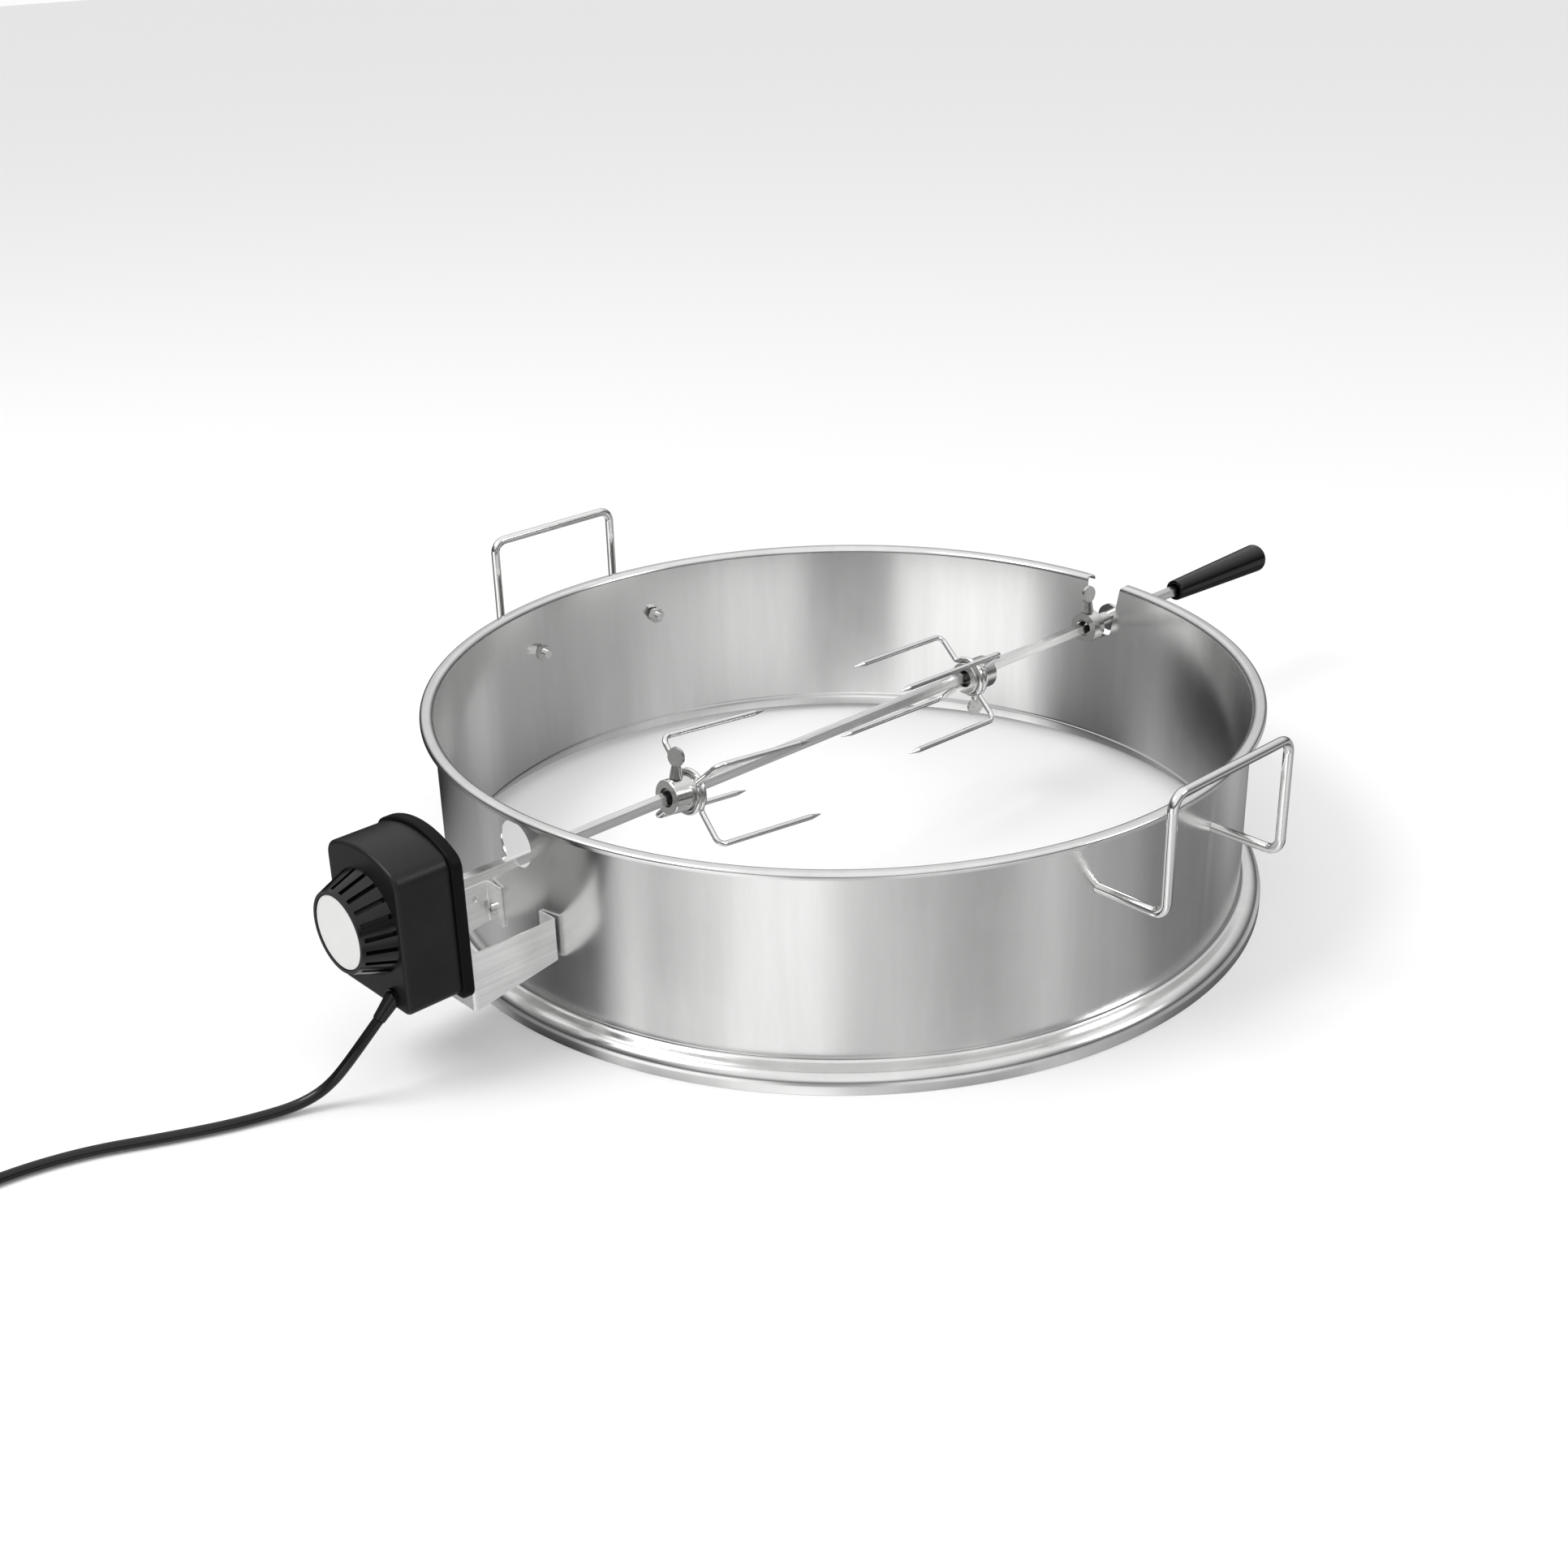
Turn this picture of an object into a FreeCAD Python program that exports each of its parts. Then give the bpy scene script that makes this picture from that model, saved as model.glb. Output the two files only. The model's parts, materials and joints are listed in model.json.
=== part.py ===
"""Rotisserie ring for a kettle grill: a sheet-steel ring with a geared motor on a bracket,
a square spit with two forks, a bushing in a notch, and two lift handles.

Frame: origin at the ring's centre on the plane that its skirt rests on, +X along the spit
towards its handle, +Z up. Millimetres and degrees.
"""
import FreeCAD, Part
import math
import os
import re

from FreeCAD import Placement, Rotation, Vector

import Sketcher

DIMENSIONS = {
    # ring
    "ring_radius": 277.0,
    "ring_height": 143.5,
    "sheet_thickness": 1.0,
    "lip_radius": 286.5,
    "lip_drop": 4.0,
    "lip_edge_radius": 2.5,
    "lip_bend_radius": 3.0,
    "flange_radius": 292.5,
    "flange_height": 13.5,
    "flange_nose_radius": 8.0,
    "flange_root_radius": 3.0,
    # spit and its places in the ring
    "spit_height": 107.0,
    "spit_width": 6.35,
    "spit_start": -356.5,
    "spit_end": 440.0,
    "hole_height": 117.6,
    "hole_radius": 15.5,
    "notch_left": 7.8,
    "notch_right": -16.0,
    "notch_right_at_rim": -24.6,
    "notch_corner_radius": 4.0,
    "neck_radius": 6.2,
    "running_clearance": 0.1,
    # lift handles
    "handle_reach": 321.5,
    "handle_top": 181.0,
    "handle_leg_height": 105.0,
    "handle_half_width": 56.0,
    "handle_bend": 9.0,
    "handle_wire_radius": 3.175,
    "handle_inner_end": 262.0,
    # motor bracket
    "bracket_sheet": 1.5,
    "bracket_face": -341.0,
    "bracket_tab": -277.4,
    "bracket_half_width": 36.0,
    "bracket_tab_half_gap": 20.0,
    "bracket_top": 79.5,
    "bracket_bottom": 42.0,
    "bracket_bottom_at_ring": 52.5,
    "bracket_tongue_half_width": 25.0,
    "bracket_tongue_top": 138.0,
    "bracket_screw_height": 62.0,
    "bracket_screw_offset": 29.0,
    # motor case
    "plate_depth": 8.0,
    "case_depth": 36.0,
    "case_wall": 2.5,
    "case_half_width": 36.5,
    "case_bottom": 56.5,
    "case_shoulder": 145.0,
    "case_top": 155.0,
    "plate_margin": 3.0,
    "cap_depth": 19.5,
    "cap_base_radius": 33.0,
    "cap_end_radius": 25.5,
    "label_radius": 22.8,
    # forks
    "collar_radius": 11.8,
    "collar_bore": 6.5,
    "collar_length": 24.0,
    "fork_wire_radius": 1.95,
    "fork_bend": 6.0,
    "prong_point": 9.0,
    "near_fork_at": -158.5,
    "near_fork_radius": 41.6,
    "near_prong_a": 81.0,
    "near_prong_b": 71.0,
    "far_fork_at": 150.0,
    "far_fork_radius": 37.0,
    "far_prong_a": 84.0,
    "far_prong_b": 100.0,
    # notch bushing
    "bushing_start": 264.2,
    "bushing_shoulder": 275.4,
    "bushing_flange": 295.5,
    "bushing_end": 298.5,
    "bushing_flange_radius": 10.5,
    "bushing_screw_at": 268.8,
    # spit handle
    "grip_start": 380.0,
    "grip_end": 492.0,
    "grip_small_radius": 8.2,
    "grip_large_radius": 11.6,
    # mains cord
    "cord_radius": 3.3,
    "coil_inner_radius": 30.0,
    "coil_outer_radius": 50.1,
    "coil_thickness": 13.5,
}

GEAR_MODULE = 0.6
OUTPUT_MODULE = 0.8
PINION_TEETH = 12
WHEEL_TEETH = 60
OUTPUT_PINION_TEETH = 15
OUTPUT_TEETH = 45
VENT_SLOTS = 20

doc = FreeCAD.newDocument("rotisserie")
sheet = doc.addObject("Spreadsheet::Sheet", "Dims")
for row, (alias, value) in enumerate(DIMENSIONS.items(), 1):
    sheet.set(f"A{row}", alias)
    sheet.set(f"B{row}", str(value))
    sheet.setAlias(f"B{row}", alias)
doc.recompute()

nodes = []


def size(alias):
    """A driving dimension, read from the sheet."""
    return float(sheet.get(alias))


def bound(expression):
    """An expression of aliases, as FreeCAD reads it from any object of the document."""
    def word(match):
        return f"Dims.{match.group()}" if match.group() in DIMENSIONS else match.group()

    return re.sub(r"[a-z][a-z0-9_]*", word, str(expression))


def number(expression):
    return float(sheet.evalExpression(bound(expression)))


def bind(item, **properties):
    for name, expression in properties.items():
        item.setExpression(name, bound(expression))


def place(item, at=("0", "0", "0"), rotation=None):
    """Puts an object at three expressions, turned by a Rotation."""
    if rotation:
        item.Placement = Placement(Vector(), rotation)
    for axis, expression in zip("xyz", at):
        item.setExpression(f"Placement.Base.{axis}", bound(expression))


def keep(item, label):
    """Names an object as a sub-part that is written out."""
    item.Label = label
    nodes.append(item)
    return item


ALONG_X = Rotation(Vector(0, 0, 1), Vector(1, 0, 0))
ALONG_Y = Rotation(Vector(0, 0, 1), Vector(0, 1, 0))


# Part primitives and booleans

def cylinder(radius, height, at, rotation=ALONG_X):
    item = doc.addObject("Part::Cylinder", "cylinder")
    bind(item, Radius=radius, Height=height)
    place(item, at, rotation)
    return item


def cone(radius_start, radius_end, height, at, rotation=ALONG_X):
    item = doc.addObject("Part::Cone", "cone")
    bind(item, Radius1=radius_start, Radius2=radius_end, Height=height)
    place(item, at, rotation)
    return item


def box(length, width, height, at):
    """A box whose low corner is at three expressions."""
    item = doc.addObject("Part::Box", "box")
    bind(item, Length=length, Width=width, Height=height)
    place(item, at)
    return item


def hexagon(across_flats, height, at, rotation=ALONG_X):
    item = doc.addObject("Part::Prism", "hexagon")
    item.Polygon = 6
    bind(item, Circumradius=f"({across_flats}) / sqrt(3)", Height=height)
    place(item, at, rotation)
    return item


def cut(base, *tools):
    item = doc.addObject("Part::Cut", "cut")
    item.Base = base
    item.Tool = tools[0] if len(tools) == 1 else fuse(*tools)
    return item


def fuse(*shapes):
    item = doc.addObject("Part::MultiFuse", "fuse")
    item.Shapes = list(shapes)
    return item


def group(*shapes):
    """Identical fasteners, kept as separate solids of one node."""
    item = doc.addObject("Part::Compound", "group")
    item.Links = list(shapes)
    return item


def feature(shape, at=(0, 0, 0), rotation=None):
    """A sub-part whose shape is built in code from the sheet's sizes."""
    item = doc.addObject("Part::Feature", "shape")
    item.Shape = shape
    item.Placement = Placement(Vector(*at), rotation or Rotation()).multiply(shape.Placement)
    return item


# Sketches

def new_body(label):
    body = doc.addObject("PartDesign::Body", label)
    return keep(body, label)


def new_sketch(body, role, offset=None):
    sketch = body.newObject("Sketcher::SketchObject", "sketch")
    plane = next(f for f in body.Origin.OriginFeatures if f.Role == role)
    sketch.AttachmentSupport = [(plane, "")]
    sketch.MapMode = "FlatFace"
    if offset:
        sketch.setExpression("AttachmentOffset.Base.z", bound(offset))
    return sketch


def datum(sketch, kind, geometry, point, expression):
    """Ties a point's X or Y in a sketch to an expression."""
    value = number(expression)
    axis = -2 if kind == "DistanceX" else -1
    if abs(value) < 1e-9:
        sketch.addConstraint(Sketcher.Constraint("PointOnObject", geometry, point, axis))
        return
    ends = (-1, 1, geometry, point) if value > 0 else (geometry, point, -1, 1)
    index = sketch.addConstraint(Sketcher.Constraint(kind, *ends, abs(value)))
    sign = "" if value > 0 else "-1 * "
    sketch.setExpression(f"Constraints[{index}]", bound(f"{sign}({expression})"))


def circle(sketch, x, y, radius):
    centre = Vector(number(x), number(y), 0)
    index = sketch.addGeometry(Part.Circle(centre, Vector(0, 0, 1), number(radius)))
    datum(sketch, "DistanceX", index, 3, x)
    datum(sketch, "DistanceY", index, 3, y)
    ring = sketch.addConstraint(Sketcher.Constraint("Radius", index, number(radius)))
    sketch.setExpression(f"Constraints[{ring}]", bound(radius))


def outline(sketch, corners):
    """A closed outline through corners (x, y, radius); a radius rounds its corner."""
    count = len(corners)
    sharp = [Vector(number(c[0]), number(c[1]), 0) for c in corners]
    round_at = [number(c[2]) if len(c) > 2 else 0.0 for c in corners]
    toward = [(sharp[(i + 1) % count] - sharp[i]).normalize() for i in range(count)]
    reach = [round_at[i] * math.tan(toward[i - 1].getAngle(toward[i]) / 2) for i in range(count)]
    sides = []
    for i in range(count):
        j = (i + 1) % count
        start = sharp[i] + toward[i] * reach[i]
        end = sharp[j] - toward[i] * reach[j]
        sides.append(sketch.addGeometry(Part.LineSegment(start, end)))
    for i, side in enumerate(sides):
        upright = abs(toward[i].x) < 1e-6
        level = abs(toward[i].y) < 1e-6
        if upright:
            sketch.addConstraint(Sketcher.Constraint("Vertical", side))
            datum(sketch, "DistanceX", side, 1, corners[i][0])
        elif level:
            sketch.addConstraint(Sketcher.Constraint("Horizontal", side))
            datum(sketch, "DistanceY", side, 1, corners[i][1])
    for j in range(count):
        before, after = sides[j - 1], sides[j]
        if not round_at[j]:
            sketch.addConstraint(Sketcher.Constraint("Coincident", before, 2, after, 1))
            pair = (toward[j - 1], toward[j])
            if all(abs(t.x) > 1e-6 for t in pair):
                datum(sketch, "DistanceX", after, 1, corners[j][0])
            if all(abs(t.y) > 1e-6 for t in pair):
                datum(sketch, "DistanceY", after, 1, corners[j][1])
            continue
        radius = round_at[j]
        start = sharp[j] - toward[j - 1] * reach[j]
        end = sharp[j] + toward[j] * reach[j]
        left_turn = toward[j - 1].cross(toward[j]).z > 0
        inward = Vector(-toward[j].y, toward[j].x, 0) * (1 if left_turn else -1)
        centre = end + inward * radius
        first, last = (start, end) if left_turn else (end, start)
        angles = [math.atan2(p.y - centre.y, p.x - centre.x) for p in (first, last)]
        full = Part.Circle(centre, Vector(0, 0, 1), radius)
        arc = sketch.addGeometry(Part.ArcOfCircle(full, *angles))
        arc_start, arc_end = (1, 2) if left_turn else (2, 1)
        sketch.addConstraint(Sketcher.Constraint("Tangent", before, 2, arc, arc_start))
        sketch.addConstraint(Sketcher.Constraint("Tangent", after, 1, arc, arc_end))
        index = sketch.addConstraint(Sketcher.Constraint("Radius", arc, radius))
        sketch.setExpression(f"Constraints[{index}]", bound(corners[j][2]))


def arched(sketch, half_width, bottom, shoulder, top):
    """An upright outline with a straight foot and one shallow arch over its shoulders."""
    w, b, s, t = (number(e) for e in (half_width, bottom, shoulder, top))
    foot = sketch.addGeometry(Part.LineSegment(Vector(-w, b, 0), Vector(w, b, 0)))
    right = sketch.addGeometry(Part.LineSegment(Vector(w, b, 0), Vector(w, s, 0)))
    arch = sketch.addGeometry(Part.Arc(Vector(w, s, 0), Vector(0, t, 0), Vector(-w, s, 0)))
    left = sketch.addGeometry(Part.LineSegment(Vector(-w, s, 0), Vector(-w, b, 0)))
    for kind, *ends in (
        ("Horizontal", foot),
        ("Vertical", right),
        ("Vertical", left),
        ("Coincident", foot, 2, right, 1),
        ("Coincident", right, 2, arch, 1),
        ("Coincident", arch, 2, left, 1),
        ("Coincident", left, 2, foot, 1),
        ("PointOnObject", arch, 3, -2),
    ):
        sketch.addConstraint(Sketcher.Constraint(kind, *ends))
    datum(sketch, "DistanceY", foot, 1, bottom)
    datum(sketch, "DistanceX", right, 1, half_width)
    datum(sketch, "DistanceY", right, 2, shoulder)
    datum(sketch, "DistanceX", left, 1, f"-({half_width})")
    arch_radius = ((t - s) ** 2 + w * w) / (2 * (t - s))
    radius = sketch.addConstraint(Sketcher.Constraint("Radius", arch, arch_radius))
    rise = f"({top} - ({shoulder}))"
    sketch.setExpression(f"Constraints[{radius}]", bound(f"({rise}^2 + ({half_width})^2) / (2 * {rise})"))


def pad(body, sketch, length, reverse=False):
    item = body.newObject("PartDesign::Pad", "pad")
    item.Profile = sketch
    bind(item, Length=length)
    item.Reversed = reverse
    return item


def pocket(body, sketch, length, reverse=False, both=False):
    """Cuts a sketch into the body; the volume it takes away is compared after the recompute."""
    doc.recompute()
    before = body.Shape.Volume
    item = body.newObject("PartDesign::Pocket", "pocket")
    item.Profile = sketch
    bind(item, Length=length)
    item.Reversed = reverse
    item.Midplane = both
    doc.recompute()
    if not body.Shape.Volume < before - 1e-3:
        raise ValueError(f"a pocket in {body.Label} cuts nothing")
    return item


def revolve(body, sketch, axis):
    item = body.newObject("PartDesign::Revolution", "revolution")
    item.Profile = sketch
    item.ReferenceAxis = (sketch, [axis])
    item.Angle = 360
    return item


def fillet(body, base, radius, chosen):
    """Rounds the edges of the body's last feature for which chosen(edge) is true."""
    doc.recompute()
    names = [f"Edge{i}" for i, edge in enumerate(base.Shape.Edges, 1) if chosen(edge)]
    item = body.newObject("PartDesign::Fillet", "fillet")
    item.Base = (base, names)
    item.Radius = radius
    return item


# Wires and cords

def tangent_path(points, radii):
    """A wire of straight runs through points, joined by tangent arcs of the given radii."""
    edges = []
    at = points[0]
    for i in range(1, len(points) - 1):
        corner = points[i]
        back = (points[i - 1] - corner).normalize()
        ahead = (points[i + 1] - corner).normalize()
        turn = math.pi - back.getAngle(ahead)
        reach = radii[i - 1] * math.tan(turn / 2)
        start = corner + back * reach
        end = corner + ahead * reach
        middle = (back + ahead).normalize()
        centre = corner + middle * (radii[i - 1] / math.cos(turn / 2))
        top = centre - middle * radii[i - 1]
        edges.append(Part.LineSegment(at, start).toShape())
        edges.append(Part.Arc(start, top, end).toShape())
        at = end
    edges.append(Part.LineSegment(at, points[-1]).toShape())
    return Part.Wire(edges)


def tube(path, radius):
    """A round bar that follows a wire; its volume is compared with section times length."""
    first = path.OrderedEdges[0]
    start = first.valueAt(first.FirstParameter)
    along = first.tangentAt(first.FirstParameter)
    section = Part.Wire(Part.makeCircle(radius, start, along))
    solid = path.makePipeShell([section], True, False)
    expected = math.pi * radius**2 * path.Length
    if abs(solid.Volume - expected) > 0.01 * expected:
        raise ValueError(f"a tube's volume is {solid.Volume:.0f}, not {expected:.0f}")
    return solid


# Ring

def build_ring():
    body = new_body("ring_shell")
    outer = "ring_radius + sheet_thickness"
    under_lip = "ring_height - sheet_thickness"
    inner_flange = "flange_height - sheet_thickness"
    profile = new_sketch(body, "XZ_Plane")
    outline(profile, [
        ("flange_radius", "0"),
        ("flange_radius", "flange_height", "flange_nose_radius"),
        (outer, "flange_height", "flange_root_radius"),
        (outer, under_lip, "lip_bend_radius"),
        ("lip_radius - sheet_thickness", under_lip, "lip_edge_radius - sheet_thickness"),
        ("lip_radius - sheet_thickness", "ring_height - lip_drop"),
        ("lip_radius", "ring_height - lip_drop"),
        ("lip_radius", "ring_height", "lip_edge_radius"),
        ("ring_radius", "ring_height", "lip_bend_radius + sheet_thickness"),
        ("ring_radius", inner_flange, "flange_root_radius + sheet_thickness"),
        ("flange_radius - sheet_thickness", inner_flange, "flange_nose_radius - sheet_thickness"),
        ("flange_radius - sheet_thickness", "0"),
    ])
    revolve(body, profile, "V_Axis")

    spit_hole = new_sketch(body, "YZ_Plane")
    circle(spit_hole, "0", "hole_height", "hole_radius")
    for side in (-1, 1):
        circle(spit_hole, f"{side} * bracket_screw_offset", "bracket_screw_height", "2.3")
    pocket(body, spit_hole, "lip_radius + 20", reverse=False)

    notch = new_sketch(body, "YZ_Plane")
    foot = "spit_height - neck_radius - running_clearance"
    cradle = "neck_radius + running_clearance"
    above = "ring_height + 2"
    rim = "ring_height + 0.3"
    flare = "notch_corner_radius + 1"
    outline(notch, [
        (f"notch_left + {flare}", above),
        (f"notch_right_at_rim - {flare}", above),
        (f"notch_right_at_rim - {flare}", rim),
        ("notch_right_at_rim", rim, "notch_corner_radius"),
        ("notch_right", foot, "notch_corner_radius"),
        ("notch_left", foot, cradle),
        ("notch_left", rim, "notch_corner_radius"),
        (f"notch_left + {flare}", rim),
    ])
    pocket(body, notch, "lip_radius + 20", reverse=True)

    leg_holes = new_sketch(body, "XZ_Plane")
    for side in (-1, 1):
        circle(leg_holes, f"{side} * handle_half_width", "handle_leg_height", "handle_wire_radius + 0.1")
    pocket(body, leg_holes, "2 * lip_radius + 40", both=True)


def build_lift_handles():
    reach, top = size("handle_reach"), size("handle_top")
    leg, half = size("handle_leg_height"), size("handle_half_width")
    inner, bend = size("handle_inner_end"), size("handle_bend")
    for label, side in (("right_lift_handle", -1), ("left_lift_handle", 1)):
        points = [
            Vector(-half, side * inner, leg),
            Vector(-half, side * reach, leg),
            Vector(-half, side * reach, top),
            Vector(half, side * reach, top),
            Vector(half, side * reach, leg),
            Vector(half, side * inner, leg),
        ]
        path = tangent_path(points, [bend] * 4)
        keep(feature(tube(path, size("handle_wire_radius"))), label)
    nuts = []
    for side in (-1, 1):
        for end in (-1, 1):
            face = "269.9" if side > 0 else "-264.9"
            at = (f"{end} * handle_half_width", f"{face} - 5", "handle_leg_height")
            body = hexagon("10.5", "5", at, ALONG_Y)
            bore = cylinder("handle_wire_radius + 0.05", "7", (at[0], f"{face} - 6", at[2]), ALONG_Y)
            nuts.append(cut(body, bore))
    keep(group(*nuts), "handle_nuts")


# Motor bracket

def build_bracket():
    body = new_body("motor_bracket")
    back = "bracket_face"
    front = "bracket_tab"
    inner = "bracket_half_width - bracket_sheet"
    tab_back = "bracket_tab - bracket_sheet"
    bend = "bracket_sheet + 1"
    channel = new_sketch(body, "XY_Plane", "bracket_bottom")
    outline(channel, [
        (back, "-1 * bracket_half_width", bend),
        (front, "-1 * bracket_half_width", bend),
        (front, "-1 * bracket_tab_half_gap"),
        (tab_back, "-1 * bracket_tab_half_gap"),
        (tab_back, f"-1 * ({inner})", "1"),
        (f"{back} + bracket_sheet", f"-1 * ({inner})", "1"),
        (f"{back} + bracket_sheet", inner, "1"),
        (tab_back, inner, "1"),
        (tab_back, "bracket_tab_half_gap"),
        (front, "bracket_tab_half_gap"),
        (front, "bracket_half_width", bend),
        (back, "bracket_half_width", bend),
    ])
    pad(body, channel, "bracket_top - bracket_bottom")
    slope = new_sketch(body, "XZ_Plane")
    outline(slope, [
        ("bracket_face + 4", "bracket_bottom"),
        ("bracket_face + 4", "bracket_bottom - 5"),
        ("bracket_tab + 5", "bracket_bottom - 5"),
        ("bracket_tab + 5", "bracket_bottom_at_ring"),
    ])
    pocket(body, slope, "2 * bracket_half_width + 20", both=True)
    tongue = new_sketch(body, "YZ_Plane", "bracket_face")
    outline(tongue, [
        ("-1 * bracket_tongue_half_width", "bracket_top - 10"),
        ("bracket_tongue_half_width", "bracket_top - 10"),
        ("bracket_tongue_half_width", "bracket_tongue_top", "8"),
        ("-1 * bracket_tongue_half_width", "bracket_tongue_top", "8"),
    ])
    pad(body, tongue, "bracket_sheet")
    holes = new_sketch(body, "YZ_Plane", "bracket_face - 5")
    circle(holes, "0", "spit_height", "9.5")
    for y, z in mount_screw_places():
        circle(holes, y, z, "2.2")
    pocket(body, holes, "20", reverse=True)
    tab_holes = new_sketch(body, "YZ_Plane", "bracket_tab + 5")
    for side in (-1, 1):
        circle(tab_holes, f"{side} * bracket_screw_offset", "bracket_screw_height", "2.2")
    pocket(body, tab_holes, "15")
    arm_holes = new_sketch(body, "XZ_Plane")
    circle(arm_holes, "bracket_tab - 11", "bracket_screw_height + 8", "2.2")
    pocket(body, arm_holes, "bracket_half_width + 5")

    screws = []
    nuts = []
    for side in (-1, 1):
        y = f"{side} * bracket_screw_offset"
        z = "bracket_screw_height"
        head = cylinder("3.9", "2.4", ("bracket_tab - bracket_sheet - 2.4", y, z))
        drive = cross_recess("bracket_tab - bracket_sheet - 2.4", y, z)
        shank = cylinder("1.95", "10", ("bracket_tab - bracket_sheet", y, z))
        screws.append(fuse(cut(head, drive), shank))
        nut = hexagon("7", "3.2", ("-275", y, z))
        nuts.append(cut(nut, cylinder("2", "5", ("-276", y, z))))
    keep(group(*screws), "bracket_screws")
    keep(group(*nuts), "bracket_nuts")


def cross_recess(x, y, z):
    """A cross-shaped driver recess, 1.2 deep, in a head that faces -X."""
    flat = box("1.7", "4", "0.9", (f"{x} - 0.5", f"{y} - 2", f"{z} - 0.45"))
    upright = box("1.7", "0.9", "4", (f"{x} - 0.5", f"{y} - 0.45", f"{z} - 2"))
    return fuse(flat, upright)


def mount_screw_places():
    """Where the motor is screwed to the bracket: (y, z) of each screw."""
    return [
        ("-20", "bracket_bottom + 30"),
        ("20", "bracket_bottom + 30"),
        ("-17", "bracket_tongue_top - 9"),
        ("17", "bracket_tongue_top - 9"),
    ]


def build_motor_screws():
    screws = []
    for y, z in mount_screw_places():
        head = cylinder("3.6", "2.2", ("bracket_face + bracket_sheet", y, z))
        recess = cross_recess("bracket_face + bracket_sheet + 1.5", y, z)
        shank = cylinder("1.9", "bracket_sheet + 6", ("bracket_face - 6", y, z))
        screws.append(fuse(cut(head, recess), shank))
    keep(group(*screws), "motor_mount_screws")


# Motor case

CASE_SCREWS = [("-30.5", "62.5"), ("30.5", "62.5"), ("-28", "139"), ("28", "139")]
CORD_EXIT = ("-20.5", "65")


def build_motor_case():
    plate = new_body("motor_front_plate")
    face = new_sketch(plate, "YZ_Plane", "bracket_face")
    wide = "case_half_width + plate_margin"
    arched(face, wide, "case_bottom - plate_margin", "case_shoulder", "case_top + plate_margin")
    slab = pad(plate, face, "plate_depth", reverse=True)
    rounded = fillet(plate, slab, 11.0, lambda e: is_along_x(e) and e.CenterOfMass.z > 110)
    lower = fillet(plate, rounded, 6.0, lambda e: is_along_x(e) and e.CenterOfMass.z < 70)
    front_x = size("bracket_face")
    back_x = front_x - size("plate_depth")
    fillet(plate, lower, 2.0, lambda e: is_at_x(e, front_x) or is_at_x(e, back_x))
    recess = new_sketch(plate, "YZ_Plane", "bracket_face - plate_depth")
    arched(recess, "case_half_width - case_wall", "case_bottom + case_wall", "case_shoulder - 2",
           "case_top - case_wall")
    pocket(plate, recess, "plate_depth - 3", reverse=True)
    openings = new_sketch(plate, "YZ_Plane", "bracket_face - plate_depth - 2")
    circle(openings, "0", "spit_height", "9.1")
    for y, z in mount_screw_places():
        circle(openings, y, z, "1.95")
    for y, z in CASE_SCREWS:
        circle(openings, y, z, "1.7")
    pocket(plate, openings, "plate_depth + 10", reverse=True)
    sinks = new_sketch(plate, "YZ_Plane", "bracket_face - 2")
    for y, z in CASE_SCREWS:
        circle(sinks, y, z, "3.3")
    pocket(plate, sinks, "10", reverse=True)

    case = new_body("motor_case")
    front = "bracket_face - plate_depth"
    footprint = new_sketch(case, "YZ_Plane", front)
    arched(footprint, "case_half_width", "case_bottom", "case_shoulder", "case_top")
    block = pad(case, footprint, "case_depth", reverse=True)
    rounded = fillet(case, block, 11.0, lambda e: is_along_x(e) and e.CenterOfMass.z > 110)
    lower = fillet(case, rounded, 6.0, lambda e: is_along_x(e) and e.CenterOfMass.z < 70)
    rear_x = number(front) - size("case_depth")
    fillet(case, lower, 2.6, lambda e: is_at_x(e, rear_x))
    hollow = new_sketch(case, "YZ_Plane", front)
    arched(hollow, "case_half_width - case_wall", "case_bottom + case_wall", "case_shoulder - 2",
           "case_top - case_wall")
    pocket(case, hollow, "case_depth - case_wall", reverse=False)
    rear = new_sketch(case, "YZ_Plane", f"{front} - case_depth + 5")
    circle(rear, "0", "spit_height", "27")
    circle(rear, *CORD_EXIT, "4.15")
    pocket(case, rear, "10", reverse=False)
    keep(case_bosses(front), "case_screw_bosses")

    screws = []
    for y, z in CASE_SCREWS:
        head = cylinder("3", "1.8", ("bracket_face - 2", y, z))
        recess = cross_recess("bracket_face - 1.2", y, z)
        shank = cylinder("1.5", "plate_depth + 8", ("bracket_face - plate_depth - 10", y, z))
        screws.append(fuse(cut(head, recess), shank))
    keep(group(*screws), "case_screws")


def case_bosses(front):
    """Four round posts in the case's corners that the case screws bite into."""
    posts = []
    for y, z in CASE_SCREWS:
        post = cylinder("3.2", "case_depth - case_wall - 1", (f"{front} - case_depth + case_wall", y, z))
        bore = cylinder("1.52", "14", (f"{front} - 12.8", y, z))
        posts.append(cut(post, bore))
    return group(*posts)


def is_along_x(edge):
    if len(edge.Vertexes) != 2:
        return False
    run = edge.Vertexes[1].Point - edge.Vertexes[0].Point
    return abs(run.x) > 5 and abs(run.y) < 1e-3 and abs(run.z) < 1e-3


def is_at_x(edge, x):
    return all(abs(v.X - x) < 1e-3 for v in edge.Vertexes)


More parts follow.
